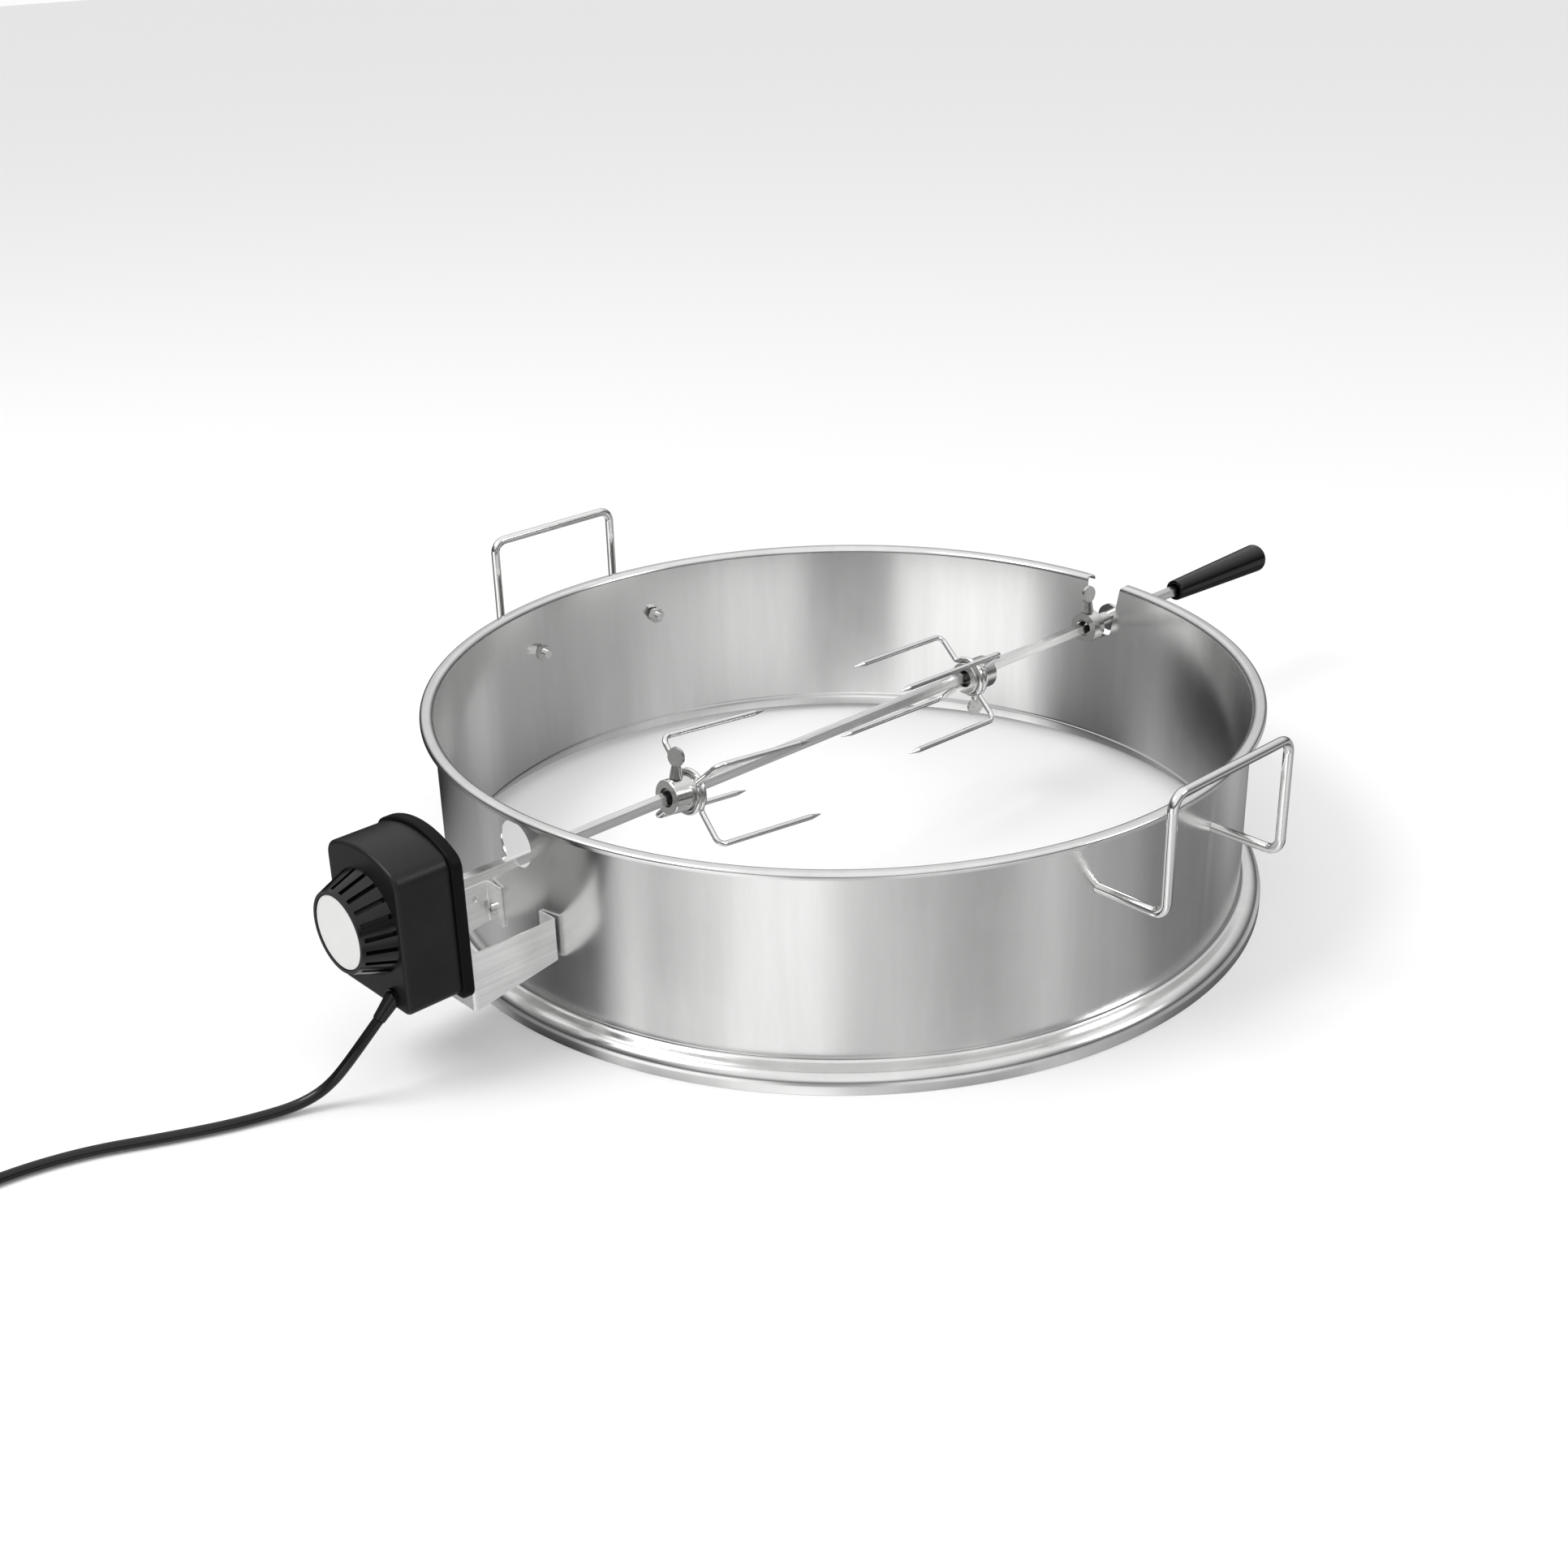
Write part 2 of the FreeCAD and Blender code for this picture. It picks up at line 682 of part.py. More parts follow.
def build_vent_cap():
    """A truncated cone of flat ribs that hang from the rim round the label's seat."""
    start = "bracket_face - plate_depth - case_depth"
    wall = 2.2
    away = Rotation(Vector(0, 0, 1), Vector(-1, 0, 0))
    at = (start, "0", "spit_height")
    outer = cone("cap_base_radius", "cap_end_radius", "cap_depth", at, away)
    inner = cone(f"cap_base_radius - {wall}", f"cap_end_radius - {wall}", f"cap_depth - {wall}", at, away)
    shell = cut(outer, inner)
    seat = cylinder("label_radius + 0.6", "1.2", (f"{start} - cap_depth", "0", "spit_height"))
    axis_at = Vector(number(start) - 17.3, 0, size("spit_height"))
    slots = []
    for i in range(VENT_SLOTS):
        slot = Part.makeBox(17.6, 3.0, 20, Vector(0, -1.5, 19))
        slot.rotate(Vector(), Vector(1, 0, 0), 360 * (i + 0.5) / VENT_SLOTS)
        slots.append(slot)
    keep(cut(shell, seat, feature(Part.makeCompound(slots), axis_at)), "motor_vent_cap")
    label = cylinder("label_radius", "0.6", (f"{start} - cap_depth + 0.6", "0", "spit_height"))
    keep(label, "rating_label")


# Gear train and motor

def gear_shape(teeth, module, width, bore, phase):
    """A spur gear along +X from x = 0, with a tooth centred on the angle phase."""
    pitch_radius = module * teeth / 2
    tip, root = pitch_radius + 0.9 * module, pitch_radius - 1.15 * module
    pitch_angle = 2 * math.pi / teeth
    points = []
    for i in range(teeth):
        middle = phase + i * pitch_angle
        for radius, share in ((root, -0.34), (tip, -0.13), (tip, 0.13), (root, 0.34)):
            angle = middle + share * pitch_angle
            points.append(Vector(0, radius * math.cos(angle), radius * math.sin(angle)))
    points.append(points[0])
    solid = Part.Face(Part.makePolygon(points)).extrude(Vector(width, 0, 0))
    if bore:
        solid = solid.cut(Part.makeCylinder(bore, width + 2, Vector(-1, 0, 0), Vector(1, 0, 0)))
    return solid


def build_gear_train():
    spit_z = size("spit_height")
    first_distance = GEAR_MODULE * (PINION_TEETH + WHEEL_TEETH) / 2
    last_distance = OUTPUT_MODULE * (OUTPUT_PINION_TEETH + OUTPUT_TEETH) / 2
    half_spread = math.acos(last_distance / (2 * first_distance)) / 2
    down = -math.pi / 2
    toward_first = down + half_spread
    toward_second = down - half_spread
    centre = Vector(0, 0, spit_z)
    first = centre + polar(first_distance, toward_first)
    second = centre + polar(last_distance, toward_second)
    between = math.atan2(second.z - first.z, second.y - first.y)
    tooth_gap = math.pi / WHEEL_TEETH

    output_x, middle_x, rotor_x = -358.0, -364.0, -370.0
    width = 4.0
    axle = 1.5
    hub_width = 1.6

    wheel = gear_shape(OUTPUT_TEETH, OUTPUT_MODULE, width, 6.9, toward_second + math.pi / OUTPUT_TEETH)
    keep(feature(wheel, (output_x, 0, spit_z)), "output_gear")

    socket = Part.makeCylinder(6.9, 17.0, Vector(-358.5, 0, spit_z), Vector(1, 0, 0))
    bore = size("spit_width") + 0.25
    square = Part.makeBox(20, bore, bore, Vector(-356.8, -bore / 2, spit_z - bore / 2))
    keep(feature(socket.cut(square)), "drive_socket")

    bush = Part.makeCylinder(9.1, 6.0, Vector(-347.0, 0, spit_z), Vector(1, 0, 0))
    bush = bush.cut(Part.makeCylinder(6.95, 10.0, Vector(-348.0, 0, spit_z), Vector(1, 0, 0)))
    keep(feature(bush), "spindle_bush")

    pinion = gear_shape(PINION_TEETH, GEAR_MODULE, width + 0.5, axle + 0.05, between)
    spacer = Part.makeCylinder(2.6, hub_width, Vector(width, 0, 0), Vector(1, 0, 0))
    spacer = spacer.cut(Part.makeCylinder(axle + 0.05, 9, Vector(), Vector(1, 0, 0)))
    wheel = gear_shape(WHEEL_TEETH, GEAR_MODULE, width, axle + 0.05, toward_first + math.pi + tooth_gap)
    pinion.translate(Vector(width + hub_width, 0, 0))
    idler = wheel.fuse([spacer, pinion]).removeSplitter()
    keep(feature(idler, (rotor_x, first.y, first.z)), "first_idler_gear")

    wheel = gear_shape(WHEEL_TEETH, GEAR_MODULE, width, axle + 0.05, between + math.pi + tooth_gap)
    pinion = gear_shape(OUTPUT_PINION_TEETH, OUTPUT_MODULE, width + 0.5, axle + 0.05,
                        toward_second + math.pi)
    pinion.translate(Vector(width + hub_width, 0, 0))
    idler = wheel.fuse([spacer, pinion]).removeSplitter()
    keep(feature(idler, (middle_x, second.y, second.z)), "second_idler_gear")

    for label, at in (("first_axle", first), ("second_axle", second)):
        pin = Part.makeCylinder(axle, 29.3, Vector(-373.3, at.y, at.z), Vector(1, 0, 0))
        keep(feature(pin), label)

    pinion = gear_shape(PINION_TEETH, GEAR_MODULE, width + 1.5, 0, toward_first)
    pinion.translate(Vector(rotor_x - 0.5, 0, spit_z))
    shaft = Part.makeCylinder(1.6, 29.0, Vector(-399.0, 0, spit_z), Vector(1, 0, 0))
    keep(feature(shaft.fuse(pinion).removeSplitter()), "rotor_shaft")
    magnet = Part.makeCylinder(14.0, 18.0, Vector(-395.5, 0, spit_z), Vector(1, 0, 0))
    magnet = magnet.cut(Part.makeCylinder(1.6, 30.0, Vector(-400, 0, spit_z), Vector(1, 0, 0)))
    keep(feature(magnet), "rotor_magnet")
    coil = ring_shape(-395.5, 18.0, 15.0, 22.0, spit_z)
    keep(feature(coil), "stator_coil")
    can = ring_shape(-398.0, 24.7, 22.0, 23.5, spit_z)
    lid = ring_shape(-398.0, 1.5, 1.8, 22.0, spit_z)
    keep(feature(can.fuse(lid).removeSplitter()), "stator_can")

    build_gearbox_plate(first, second)


def build_gearbox_plate(first, second):
    """The sheet that the stator is fixed to and that holds the gears' axles."""
    spit_z = size("spit_height")
    plate = Part.makeBox(1.6, 56, 62, Vector(-373.3, -28, spit_z - 36))
    corners = [e for e in plate.Edges if abs(e.tangentAt(0).x) > 0.9]
    plate = plate.makeFillet(14.0, corners)
    plate = plate.cut(Part.makeCylinder(2.0, 9, Vector(-377, 0, spit_z), Vector(1, 0, 0)))
    for at in (first, second):
        plate = plate.cut(Part.makeCylinder(1.5, 9, Vector(-377, at.y, at.z), Vector(1, 0, 0)))
    keep(feature(plate), "gearbox_plate")
    pillars = []
    for y, z in ((-21, -21), (21, -21), (-21, 21), (21, 21)):
        pillar = Part.makeCylinder(2.2, 9.2, Vector(-382.5, y, spit_z + z), Vector(1, 0, 0))
        pillars.append(feature(pillar))
    keep(group(*pillars), "gearbox_pillars")


def ring_shape(x, length, inner_radius, outer_radius, z):
    outer = Part.makeCylinder(outer_radius, length, Vector(x, 0, z), Vector(1, 0, 0))
    return outer.cut(Part.makeCylinder(inner_radius, length + 2, Vector(x - 1, 0, z), Vector(1, 0, 0)))


def polar(radius, angle):
    return Vector(0, radius * math.cos(angle), radius * math.sin(angle))


# Spit

def build_spit():
    half = "spit_width / 2"
    bar = box("spit_end - spit_start", "spit_width", "spit_width",
              ("spit_start", f"-1 * {half}", f"spit_height - {half}"))
    keep(bar, "spit_rod")

    grip = new_body("spit_handle")
    place(grip, ("0", "0", "spit_height"))
    profile = new_sketch(grip, "XZ_Plane")
    outline(profile, [
        ("grip_start", "5.6"),
        ("grip_start + 26", "5.6"),
        ("grip_start + 26", "spit_width / sqrt(2)"),
        ("spit_end", "spit_width / sqrt(2)"),
        ("spit_end", "0"),
        ("grip_end", "0"),
        ("grip_end", "grip_large_radius"),
        ("grip_start", "grip_small_radius"),
    ])
    turned = revolve(grip, profile, "H_Axis")
    end = size("grip_end")
    rounded = fillet(grip, turned, 3.0, lambda e: is_at_x(e, end) and e.Length > 50)
    start = size("grip_start")
    fillet(grip, rounded, 0.8, lambda e: is_at_x(e, start))

    bushing = new_body("notch_bushing")
    place(bushing, ("0", "0", "spit_height"))
    profile = new_sketch(bushing, "XZ_Plane")
    bar_hole = "collar_bore - 1.4"
    bore_end = "bushing_shoulder - 1"
    outline(profile, [
        ("bushing_start", "collar_bore"),
        ("bushing_start", "collar_radius"),
        ("bushing_shoulder", "collar_radius"),
        ("bushing_shoulder", "neck_radius + 0.8"),
        ("bushing_shoulder + 0.8", "neck_radius"),
        ("bushing_flange", "neck_radius"),
        ("bushing_flange", "bushing_flange_radius"),
        ("bushing_end", "bushing_flange_radius"),
        ("bushing_end", bar_hole),
        (bore_end, bar_hole),
        (bore_end, "collar_bore"),
    ])
    revolve(bushing, profile, "H_Axis")
    tapped = new_sketch(bushing, "XY_Plane")
    circle(tapped, "bushing_screw_at", "0", "2.55")
    pocket(bushing, tapped, "collar_radius + 4", reverse=True)


def thumbscrew_shape(rod_face, collar_top):
    """A thumbscrew along +Z from the bar's face: shank, flared shoulder and a ribbed flat grip."""
    shoulder_top = collar_top + 8.5
    width, height = 6.0, 6.6
    shank = Part.makeCylinder(2.45, shoulder_top - rod_face, Vector(0, 0, rod_face))
    tip = Part.makeCone(1.5, 2.45, 1.0, Vector(0, 0, rod_face))
    shank = shank.cut(Part.makeCylinder(3, 1.0, Vector(0, 0, rod_face))).fuse(tip)
    shoulder = Part.makeCone(4.4, 3.1, 8.0, Vector(0, 0, collar_top + 0.5))
    oval = Part.Ellipse(Vector(0, 0, 0), height, width)
    grip = Part.Face(Part.Wire(oval.toShape())).extrude(Vector(0, 0, 2.4))
    grip.translate(Vector(0, 0, -1.2))
    ribs = []
    for i in range(-3, 4):
        offset = 1.55 * i
        reach = 2 * width * math.sqrt(1 - (offset / height) ** 2) - 1.4
        ribs.append(Part.makeBox(0.6, reach, 3.4, Vector(offset - 0.3, -reach / 2, -1.7)))
    grip = grip.fuse(ribs).removeSplitter()
    grip.rotate(Vector(), Vector(0, 1, 0), 90)
    grip.translate(Vector(0, 0, shoulder_top + height - 0.6))
    return shank.fuse([shoulder, grip]).removeSplitter()


def fork_wire(start_angle, offset, direction, reach, length):
    """One fork wire: two prongs on opposite sides, joined by a half turn round the collar."""
    wire = size("fork_wire_radius")
    loop = size("collar_radius") + wire
    corner = 4.0
    bend = size("fork_bend")
    slip = math.asin(corner / (loop + corner))
    foot = (loop + corner) * math.cos(slip)
    tip_x = offset + length

    def at(radius, angle, x):
        return Vector(direction * x, radius * math.cos(angle), radius * math.sin(angle))

    other = start_angle + math.pi
    edges = []

    def leg(angle, sign):
        """Prong, bend and radial leg at one angle, with the small arc onto the loop."""
        tip = at(reach, angle, tip_x)
        bend_start = at(reach, angle, offset + bend)
        bend_end = at(reach - bend, angle, offset)
        half_turn = math.sqrt(0.5)
        bend_top = at(reach - bend + bend * half_turn, angle, offset + bend - bend * half_turn)
        leg_end = at(foot, angle, offset)
        touch = at(loop, angle + sign * slip, offset)
        middle = at(loop + corner, angle + sign * slip, offset)
        inward = (leg_end - middle).normalize() + (touch - middle).normalize()
        arc_top = middle + inward.normalize() * corner
        return [
            Part.LineSegment(tip, bend_start).toShape(),
            Part.Arc(bend_start, bend_top, bend_end).toShape(),
            Part.LineSegment(bend_end, leg_end).toShape(),
            Part.Arc(leg_end, arc_top, touch).toShape(),
        ]

    edges += leg(start_angle, 1)
    first = at(loop, start_angle + slip, offset)
    last = at(loop, other - slip, offset)
    edges.append(Part.Arc(first, at(loop, start_angle + math.pi / 2, offset), last).toShape())
    edges += reversed(leg(other, -1))
    path = Part.Wire(Part.sortEdges(edges)[0])
    solid = tube(path, wire)
    point = size("prong_point")
    for angle in (start_angle, other):
        base = at(reach, angle, tip_x - 0.2)
        solid = solid.fuse(Part.makeCone(wire, 0.35, point, base, Vector(direction, 0, 0)))
    return solid.removeSplitter()


def build_fork(name, direction, tilt, drop, screw_angle, grip_turn):
    """A fork on the spit: collar, two wires and thumbscrew, tilted a little on the loose bar."""
    at = (size(f"{name}_fork_at"), 0, size("spit_height") + drop)
    turn = Rotation(Vector(0, 0, 1), tilt[1]).multiply(Rotation(Vector(0, 1, 0), tilt[0]))
    length = size("collar_length")
    low = 0 if direction > 0 else -length
    collar = Part.makeCylinder(size("collar_radius"), length, Vector(low, 0, 0), Vector(1, 0, 0))
    collar = collar.makeChamfer(0.5, [e for e in collar.Edges if e.Length > 60])
    bore = Part.makeCylinder(size("collar_bore"), length + 2, Vector(low - 1, 0, 0), Vector(1, 0, 0))
    screw_x = direction * 8.0
    outward = Vector(0, -math.sin(screw_angle), math.cos(screw_angle))
    tapped = Part.makeCylinder(2.5, 20, Vector(screw_x, 0, 0), outward)
    collar = collar.cut(bore).cut(tapped)
    keep(feature(collar, at, turn), f"{name}_fork_collar")

    wire_step = 2 * size("fork_wire_radius") + 0.1
    for index, angle in enumerate((math.radians(42.5), math.radians(137.5))):
        letter = "ab"[index]
        offset = 20.2 - index * wire_step
        reach, length = size(f"{name}_fork_radius"), size(f"{name}_prong_{letter}")
        wire = fork_wire(angle, offset, direction, reach, length)
        keep(feature(wire, at, turn), f"{name}_fork_wire_{letter}")

    slope = math.sin(math.radians(tilt[0]))
    rod_face = size("spit_width") / 2 - abs(drop) + 8.0 * slope + 0.2
    screw = thumbscrew_shape(rod_face, size("collar_radius"))
    screw.rotate(Vector(), Vector(0, 0, 1), grip_turn)
    screw.rotate(Vector(), Vector(1, 0, 0), math.degrees(screw_angle))
    screw.translate(Vector(screw_x, 0, 0))
    keep(feature(screw, at, turn), f"{name}_fork_thumbscrew")


def build_bushing_screw():
    screw = thumbscrew_shape(size("spit_width") / 2, size("collar_radius"))
    screw.rotate(Vector(), Vector(0, 0, 1), 82)
    keep(feature(screw, (size("bushing_screw_at"), 0, size("spit_height"))), "bushing_thumbscrew")


# Mains cord

CORD_ROUTE = [
    (-396.3, -19.7, 53.7),
    (-405.8, -16.6, 42.4),
    (-414.0, -11.9, 30.4),
    (-421.2, -6.3, 19.0),
    (-430.2, -0.9, 10.0),
    (-443.8, 4.6, 4.8),
    (-461.0, 10.6, 3.5),
    (-484.0, 18.5, 3.5),
    (-515.0, 33.0, 3.5),
    (-550.0, 51.0, 3.5),
    (-587.0, 61.5, 3.5),
    (-622.0, 64.0, 3.5),
    (-649.0, 60.0, 3.5),
]
TAIL_ROUTE = [
    (-708.5, 103.5, 10.1),
    (-709.5, 122.0, 10.1),
    (-706.5, 142.0, 8.0),
    (-699.0, 160.0, 6.2),
    (-686.0, 174.5, 6.8),
    (-669.5, 183.0, 9.6),
    (-652.0, 186.6, 13.2),
]
COIL_CENTRE = (-662.0, 106.7)


def cord_path(route):
    """Straight runs joined by arcs as large as the shorter of each pair of runs allows."""
    points = [Vector(*p) for p in route]
    radii = []
    for before, corner, after in zip(points, points[1:], points[2:]):
        back, ahead = before - corner, after - corner
        turn = math.pi - back.getAngle(ahead)
        radii.append(0.45 * min(back.Length, ahead.Length) / math.tan(turn / 2))
    print("cord radii", [round(r, 1) for r in radii])
    return tangent_path(points, radii)


def build_cord():
    rear_x = size("bracket_face") - size("plate_depth") - size("case_depth")
    exit_at = Vector(rear_x, float(CORD_EXIT[0]), float(CORD_EXIT[1]))
    outward = (Vector(*CORD_ROUTE[0]) - exit_at).normalize()
    reach = (Vector(*CORD_ROUTE[0]) - exit_at).Length
    flange = Part.makeCylinder(5.4, 2.2, exit_at, Vector(-1, 0, 0))
    lug = Part.makeCylinder(4.1, 5.5, exit_at + Vector(5.4, 0, 0), Vector(-1, 0, 0))
    relief = Part.makeCone(5.2, 3.8, reach, exit_at, outward)
    knuckle = Part.makeSphere(4.1, exit_at)
    inside_case = Part.makeBox(20, 20, 20, exit_at - Vector(0, 10, 10))
    outside = relief.fuse([flange, knuckle]).cut(inside_case)
    body = outside.fuse(lug).removeSplitter()
    keep(feature(body), "cord_strain_relief")

    radius = size("cord_radius")
    lead = tube(cord_path(CORD_ROUTE), radius)
    keep(feature(lead), "power_cord")
    tail = tube(cord_path(TAIL_ROUTE), radius)
    keep(feature(tail), "power_cord_tail")
    inner, outer = size("coil_inner_radius"), size("coil_outer_radius")
    base = Vector(*COIL_CENTRE, 0.1)
    coil = Part.makeCylinder(outer, size("coil_thickness"), base)
    coil = coil.cut(Part.makeCylinder(inner, size("coil_thickness") + 2, base - Vector(0, 0, 1)))
    keep(feature(coil), "power_cord_coil")


def build_plug():
    """A moulded three-pin plug lying beside the coil, with its blades pointing away."""
    at = Placement(Vector(-638.8, 189.2, 13.2), Rotation(Vector(0, 0, 1), 11))
    core = Part.makeBox(26, 25, 25.5, Vector(0, -12.5, -13.0))
    core = core.makeFillet(4.0, [e for e in core.Edges if abs(e.tangentAt(0).x) > 0.9])
    neck = Part.makeCone(4.6, 9.0, 14, Vector(-13.5, 0, 0), Vector(1, 0, 0))
    body = core.fuse(neck).removeSplitter()
    body.Placement = at
    item = feature(body)
    keep(item, "plug_body")
    blades = []
    for side in (-1, 1):
        blade = Part.makeBox(17, 1.5, 6.3, Vector(26, side * 6.35 - 0.75, 0.5))
        blade.Placement = at
        blades.append(feature(blade))
    pin = Part.makeCylinder(2.4, 20, Vector(26, 0, -7.2), Vector(1, 0, 0))
    pin.Placement = at
    blades.append(feature(pin))
    keep(group(*blades), "plug_pins")


def main():
    build_ring()
    build_lift_handles()
    build_bracket()
    build_motor_screws()
    build_motor_case()
    build_vent_cap()
    build_gear_train()
    build_spit()
    build_fork("near", 1, (5.2, -1.2), 0.4, math.radians(-2), 17)
    build_fork("far", -1, (2.3, 1.8), -2.2, math.radians(183), -72)
    build_bushing_screw()
    build_cord()
    build_plug()
    doc.recompute()
    os.makedirs("parts", exist_ok=True)
    for item in doc.Objects:
        if "Invalid" in item.State or "Error" in item.State:
            raise ValueError(f"{item.Label} failed: {item.State}")
    for item in nodes:
        shape = item.Shape
        if shape.isNull() or not shape.isValid() or not shape.Solids:
            raise ValueError(f"{item.Label} has no valid solid")
    for item in nodes:
        item.Shape.exportStep(f"parts/{item.Label}.step")
        box_mm = item.Shape.BoundBox
        print(f"{item.Label:24s} {len(item.Shape.Solids)} solids {item.Shape.Volume:10.0f} mm3 "
              f"x {box_mm.XMin:.1f}..{box_mm.XMax:.1f} y {box_mm.YMin:.1f}..{box_mm.YMax:.1f} "
              f"z {box_mm.ZMin:.1f}..{box_mm.ZMax:.1f}")


main()
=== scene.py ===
"""Looks of the rotisserie ring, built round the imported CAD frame. Metres, +X along the spit."""
import json
import math

import bmesh
import bpy
from mathutils import Matrix, Vector


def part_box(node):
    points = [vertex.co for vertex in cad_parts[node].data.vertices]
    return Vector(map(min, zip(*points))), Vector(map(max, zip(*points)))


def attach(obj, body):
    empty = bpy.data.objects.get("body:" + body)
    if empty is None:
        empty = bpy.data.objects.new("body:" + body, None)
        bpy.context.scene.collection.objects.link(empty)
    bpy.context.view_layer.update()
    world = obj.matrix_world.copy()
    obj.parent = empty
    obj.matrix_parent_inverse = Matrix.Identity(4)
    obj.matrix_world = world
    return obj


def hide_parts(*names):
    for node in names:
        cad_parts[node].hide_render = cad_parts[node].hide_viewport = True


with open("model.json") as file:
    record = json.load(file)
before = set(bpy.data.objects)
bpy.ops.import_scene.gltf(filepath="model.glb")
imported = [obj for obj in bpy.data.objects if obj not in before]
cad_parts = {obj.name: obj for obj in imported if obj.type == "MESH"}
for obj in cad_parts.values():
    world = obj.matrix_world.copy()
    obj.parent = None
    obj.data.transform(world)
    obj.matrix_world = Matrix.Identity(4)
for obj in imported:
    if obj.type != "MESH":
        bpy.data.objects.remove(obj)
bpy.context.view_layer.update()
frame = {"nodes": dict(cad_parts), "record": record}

nodes = frame["nodes"]
scene = bpy.context.scene


# Camera

CAMERA_PLACE = (-0.8915, -0.9124, 0.6715)
CAMERA_FORWARD = Vector((0.61012634, 0.66543508, -0.43004884))
CAMERA_UP = Vector((0.30885738, 0.30008729, 0.90252686))
SENSOR_WIDTH = 36
FOCAL_LENGTH = 46.01
CLIP_END = 50


def make_camera():
    right = CAMERA_FORWARD.cross(CAMERA_UP)
    turn = Matrix((right, CAMERA_UP, -CAMERA_FORWARD)).transposed().to_4x4()
    lens = bpy.data.cameras.new("camera")
    lens.sensor_width = SENSOR_WIDTH
    lens.lens = FOCAL_LENGTH
    lens.clip_end = CLIP_END
    camera = bpy.data.objects.new("camera", lens)
    camera.matrix_world = Matrix.Translation(CAMERA_PLACE) @ turn
    scene.collection.objects.link(camera)
    scene.camera = camera


# Node trees

class Nodes:
    """A node tree filled by short calls: add gives back its new node, the others a node's output."""

    def __init__(self, tree):
        self.tree = tree

    def add(self, kind, inputs=None, **settings):
        node = self.tree.nodes.new(kind)
        for name, value in settings.items():
            setattr(node, name, value)
        for name, value in (inputs or {}).items():
            self.feed(node, name, value)
        return node

    def feed(self, node, name, value):
        if isinstance(value, bpy.types.NodeSocket):
            self.tree.links.new(value, node.inputs[name])
        else:
            node.inputs[name].default_value = value

    def math(self, operation, first, second=0.0):
        return self.add("ShaderNodeMath", {0: first, 1: second}, operation=operation).outputs[0]

    def ramp(self, value, stops, interpolation="LINEAR"):
        """A colour ramp of (position, grey) or (position, (r, g, b)) stops."""
        node = self.add("ShaderNodeValToRGB", {"Fac": value})
        node.color_ramp.interpolation = interpolation
        elements = node.color_ramp.elements
        while len(elements) < len(stops):
            elements.new(0.5)
        for element, (place, colour) in zip(elements, stops):
            element.position = place
            rgb = colour if isinstance(colour, tuple) else (colour,) * 3
            element.color = (*rgb, 1)
        return node.outputs["Color"]

    def mix(self, factor, first, second, blend="MIX"):
        """Two colours mixed. The mix node's colours are its inputs 6 and 7 and its output 2."""
        node = self.add("ShaderNodeMix", data_type="RGBA", blend_type=blend)
        self.feed(node, 0, factor)
        self.feed(node, 6, first)
        self.feed(node, 7, second)
        return node.outputs[2]


def grey(level):
    return (level, level, level, 1)


def new_material(name):
    """A new material, its node tree and its surface node."""
    material = bpy.data.materials.new(name)
    material.use_nodes = True
    return material, Nodes(material.node_tree), material.node_tree.nodes["Principled BSDF"]


# Studio: soft light all round, two lamps and a white floor

SKY_STRENGTH = 1.05
BACKDROP_LEVEL = 0.93
FLOOR_REACH = 9
FLOOR_DROP = 2e-4
LAMP_TARGET = Vector((0, 0, 0.08))
PLAIN_LEVEL = 0.75
# Where one part of the surroundings fades into the next: sines of angles below the horizon,
# and for the high sky above it
STEEP_FROM = (0.43, 0.47)
PLAIN_FROM = (0.70, 0.98)
HIGH_SKY_FROM = (0.45, 0.80)
HORIZON_HALF_WIDTH = 0.03
# Brightness by azimuth in degrees: SHALLOW_BANDS just below the horizon, STEEP_BANDS further down
SHALLOW_BANDS = [
    (0, 0.58),
    (18, 0.32),
    (36, 0.10),
    (56, 0.02),
    (92, 0.02),
    (104, 0.07),
    (116, 0.26),
    (145, 0.28),
    (154, 0.36),
    (160, 0.70),
    (168, 1.30),
    (190, 1.30),
    (204, 1.15),
    (213, 0.42),
    (230, 0.44),
    (242, 0.88),
    (254, 0.95),
    (275, 0.68),
    (300, 0.45),
    (322, 0.42),
    (346, 0.40),
    (360, 0.58),
]
STEEP_BANDS = [
    (0, 0.08),
    (30, 0.06),
    (60, 0.52),
    (112, 0.58),
    (122, 0.30),
    (129, 0.02),
    (154, 0.02),
    (159, 0.55),
    (164, 0.75),
    (172, 0.45),
    (190, 0.75),
    (202, 1.15),
    (218, 1.30),
    (230, 0.80),
    (248, 0.50),
    (264, 0.34),
    (286, 0.66),
    (300, 0.45),
    (312, 0.38),
    (324, 0.14),
    (360, 0.08),
]
# Brightness of the sky: by azimuth in degrees low down, times brightness by the sine of the height
DOME_BANDS = [
    (0, 0.55),
    (50, 0.90),
    (105, 0.70),
    (130, 0.25),
    (175, 0.25),
    (192, 0.90),
    (235, 1.10),
    (255, 0.70),
    (285, 0.45),
    (330, 0.40),
    (360, 0.55),
]
DOME_LEVELS = [(0.0, 0.10), (0.10, 0.10), (0.26, 0.40), (0.45, 1.15), (1.0, 1.30)]
# Name, place, width and power
LAMPS = [
    ("key_lamp", (-1.6, 0.6, 2.2), 1.2, 28.0),
    ("edge_lamp", (1.2, -2.0, 1.4), 0.8, 12.0),
]


def fade(net, value, limits):
    """0 below the first limit, 1 above the second."""
    return net.ramp(value, [(limits[0], 0.0), (limits[1], 1.0)])


def by_azimuth(net, turn, bands):
    return net.ramp(turn, [(degrees / 360, level) for degrees, level in bands], "EASE")


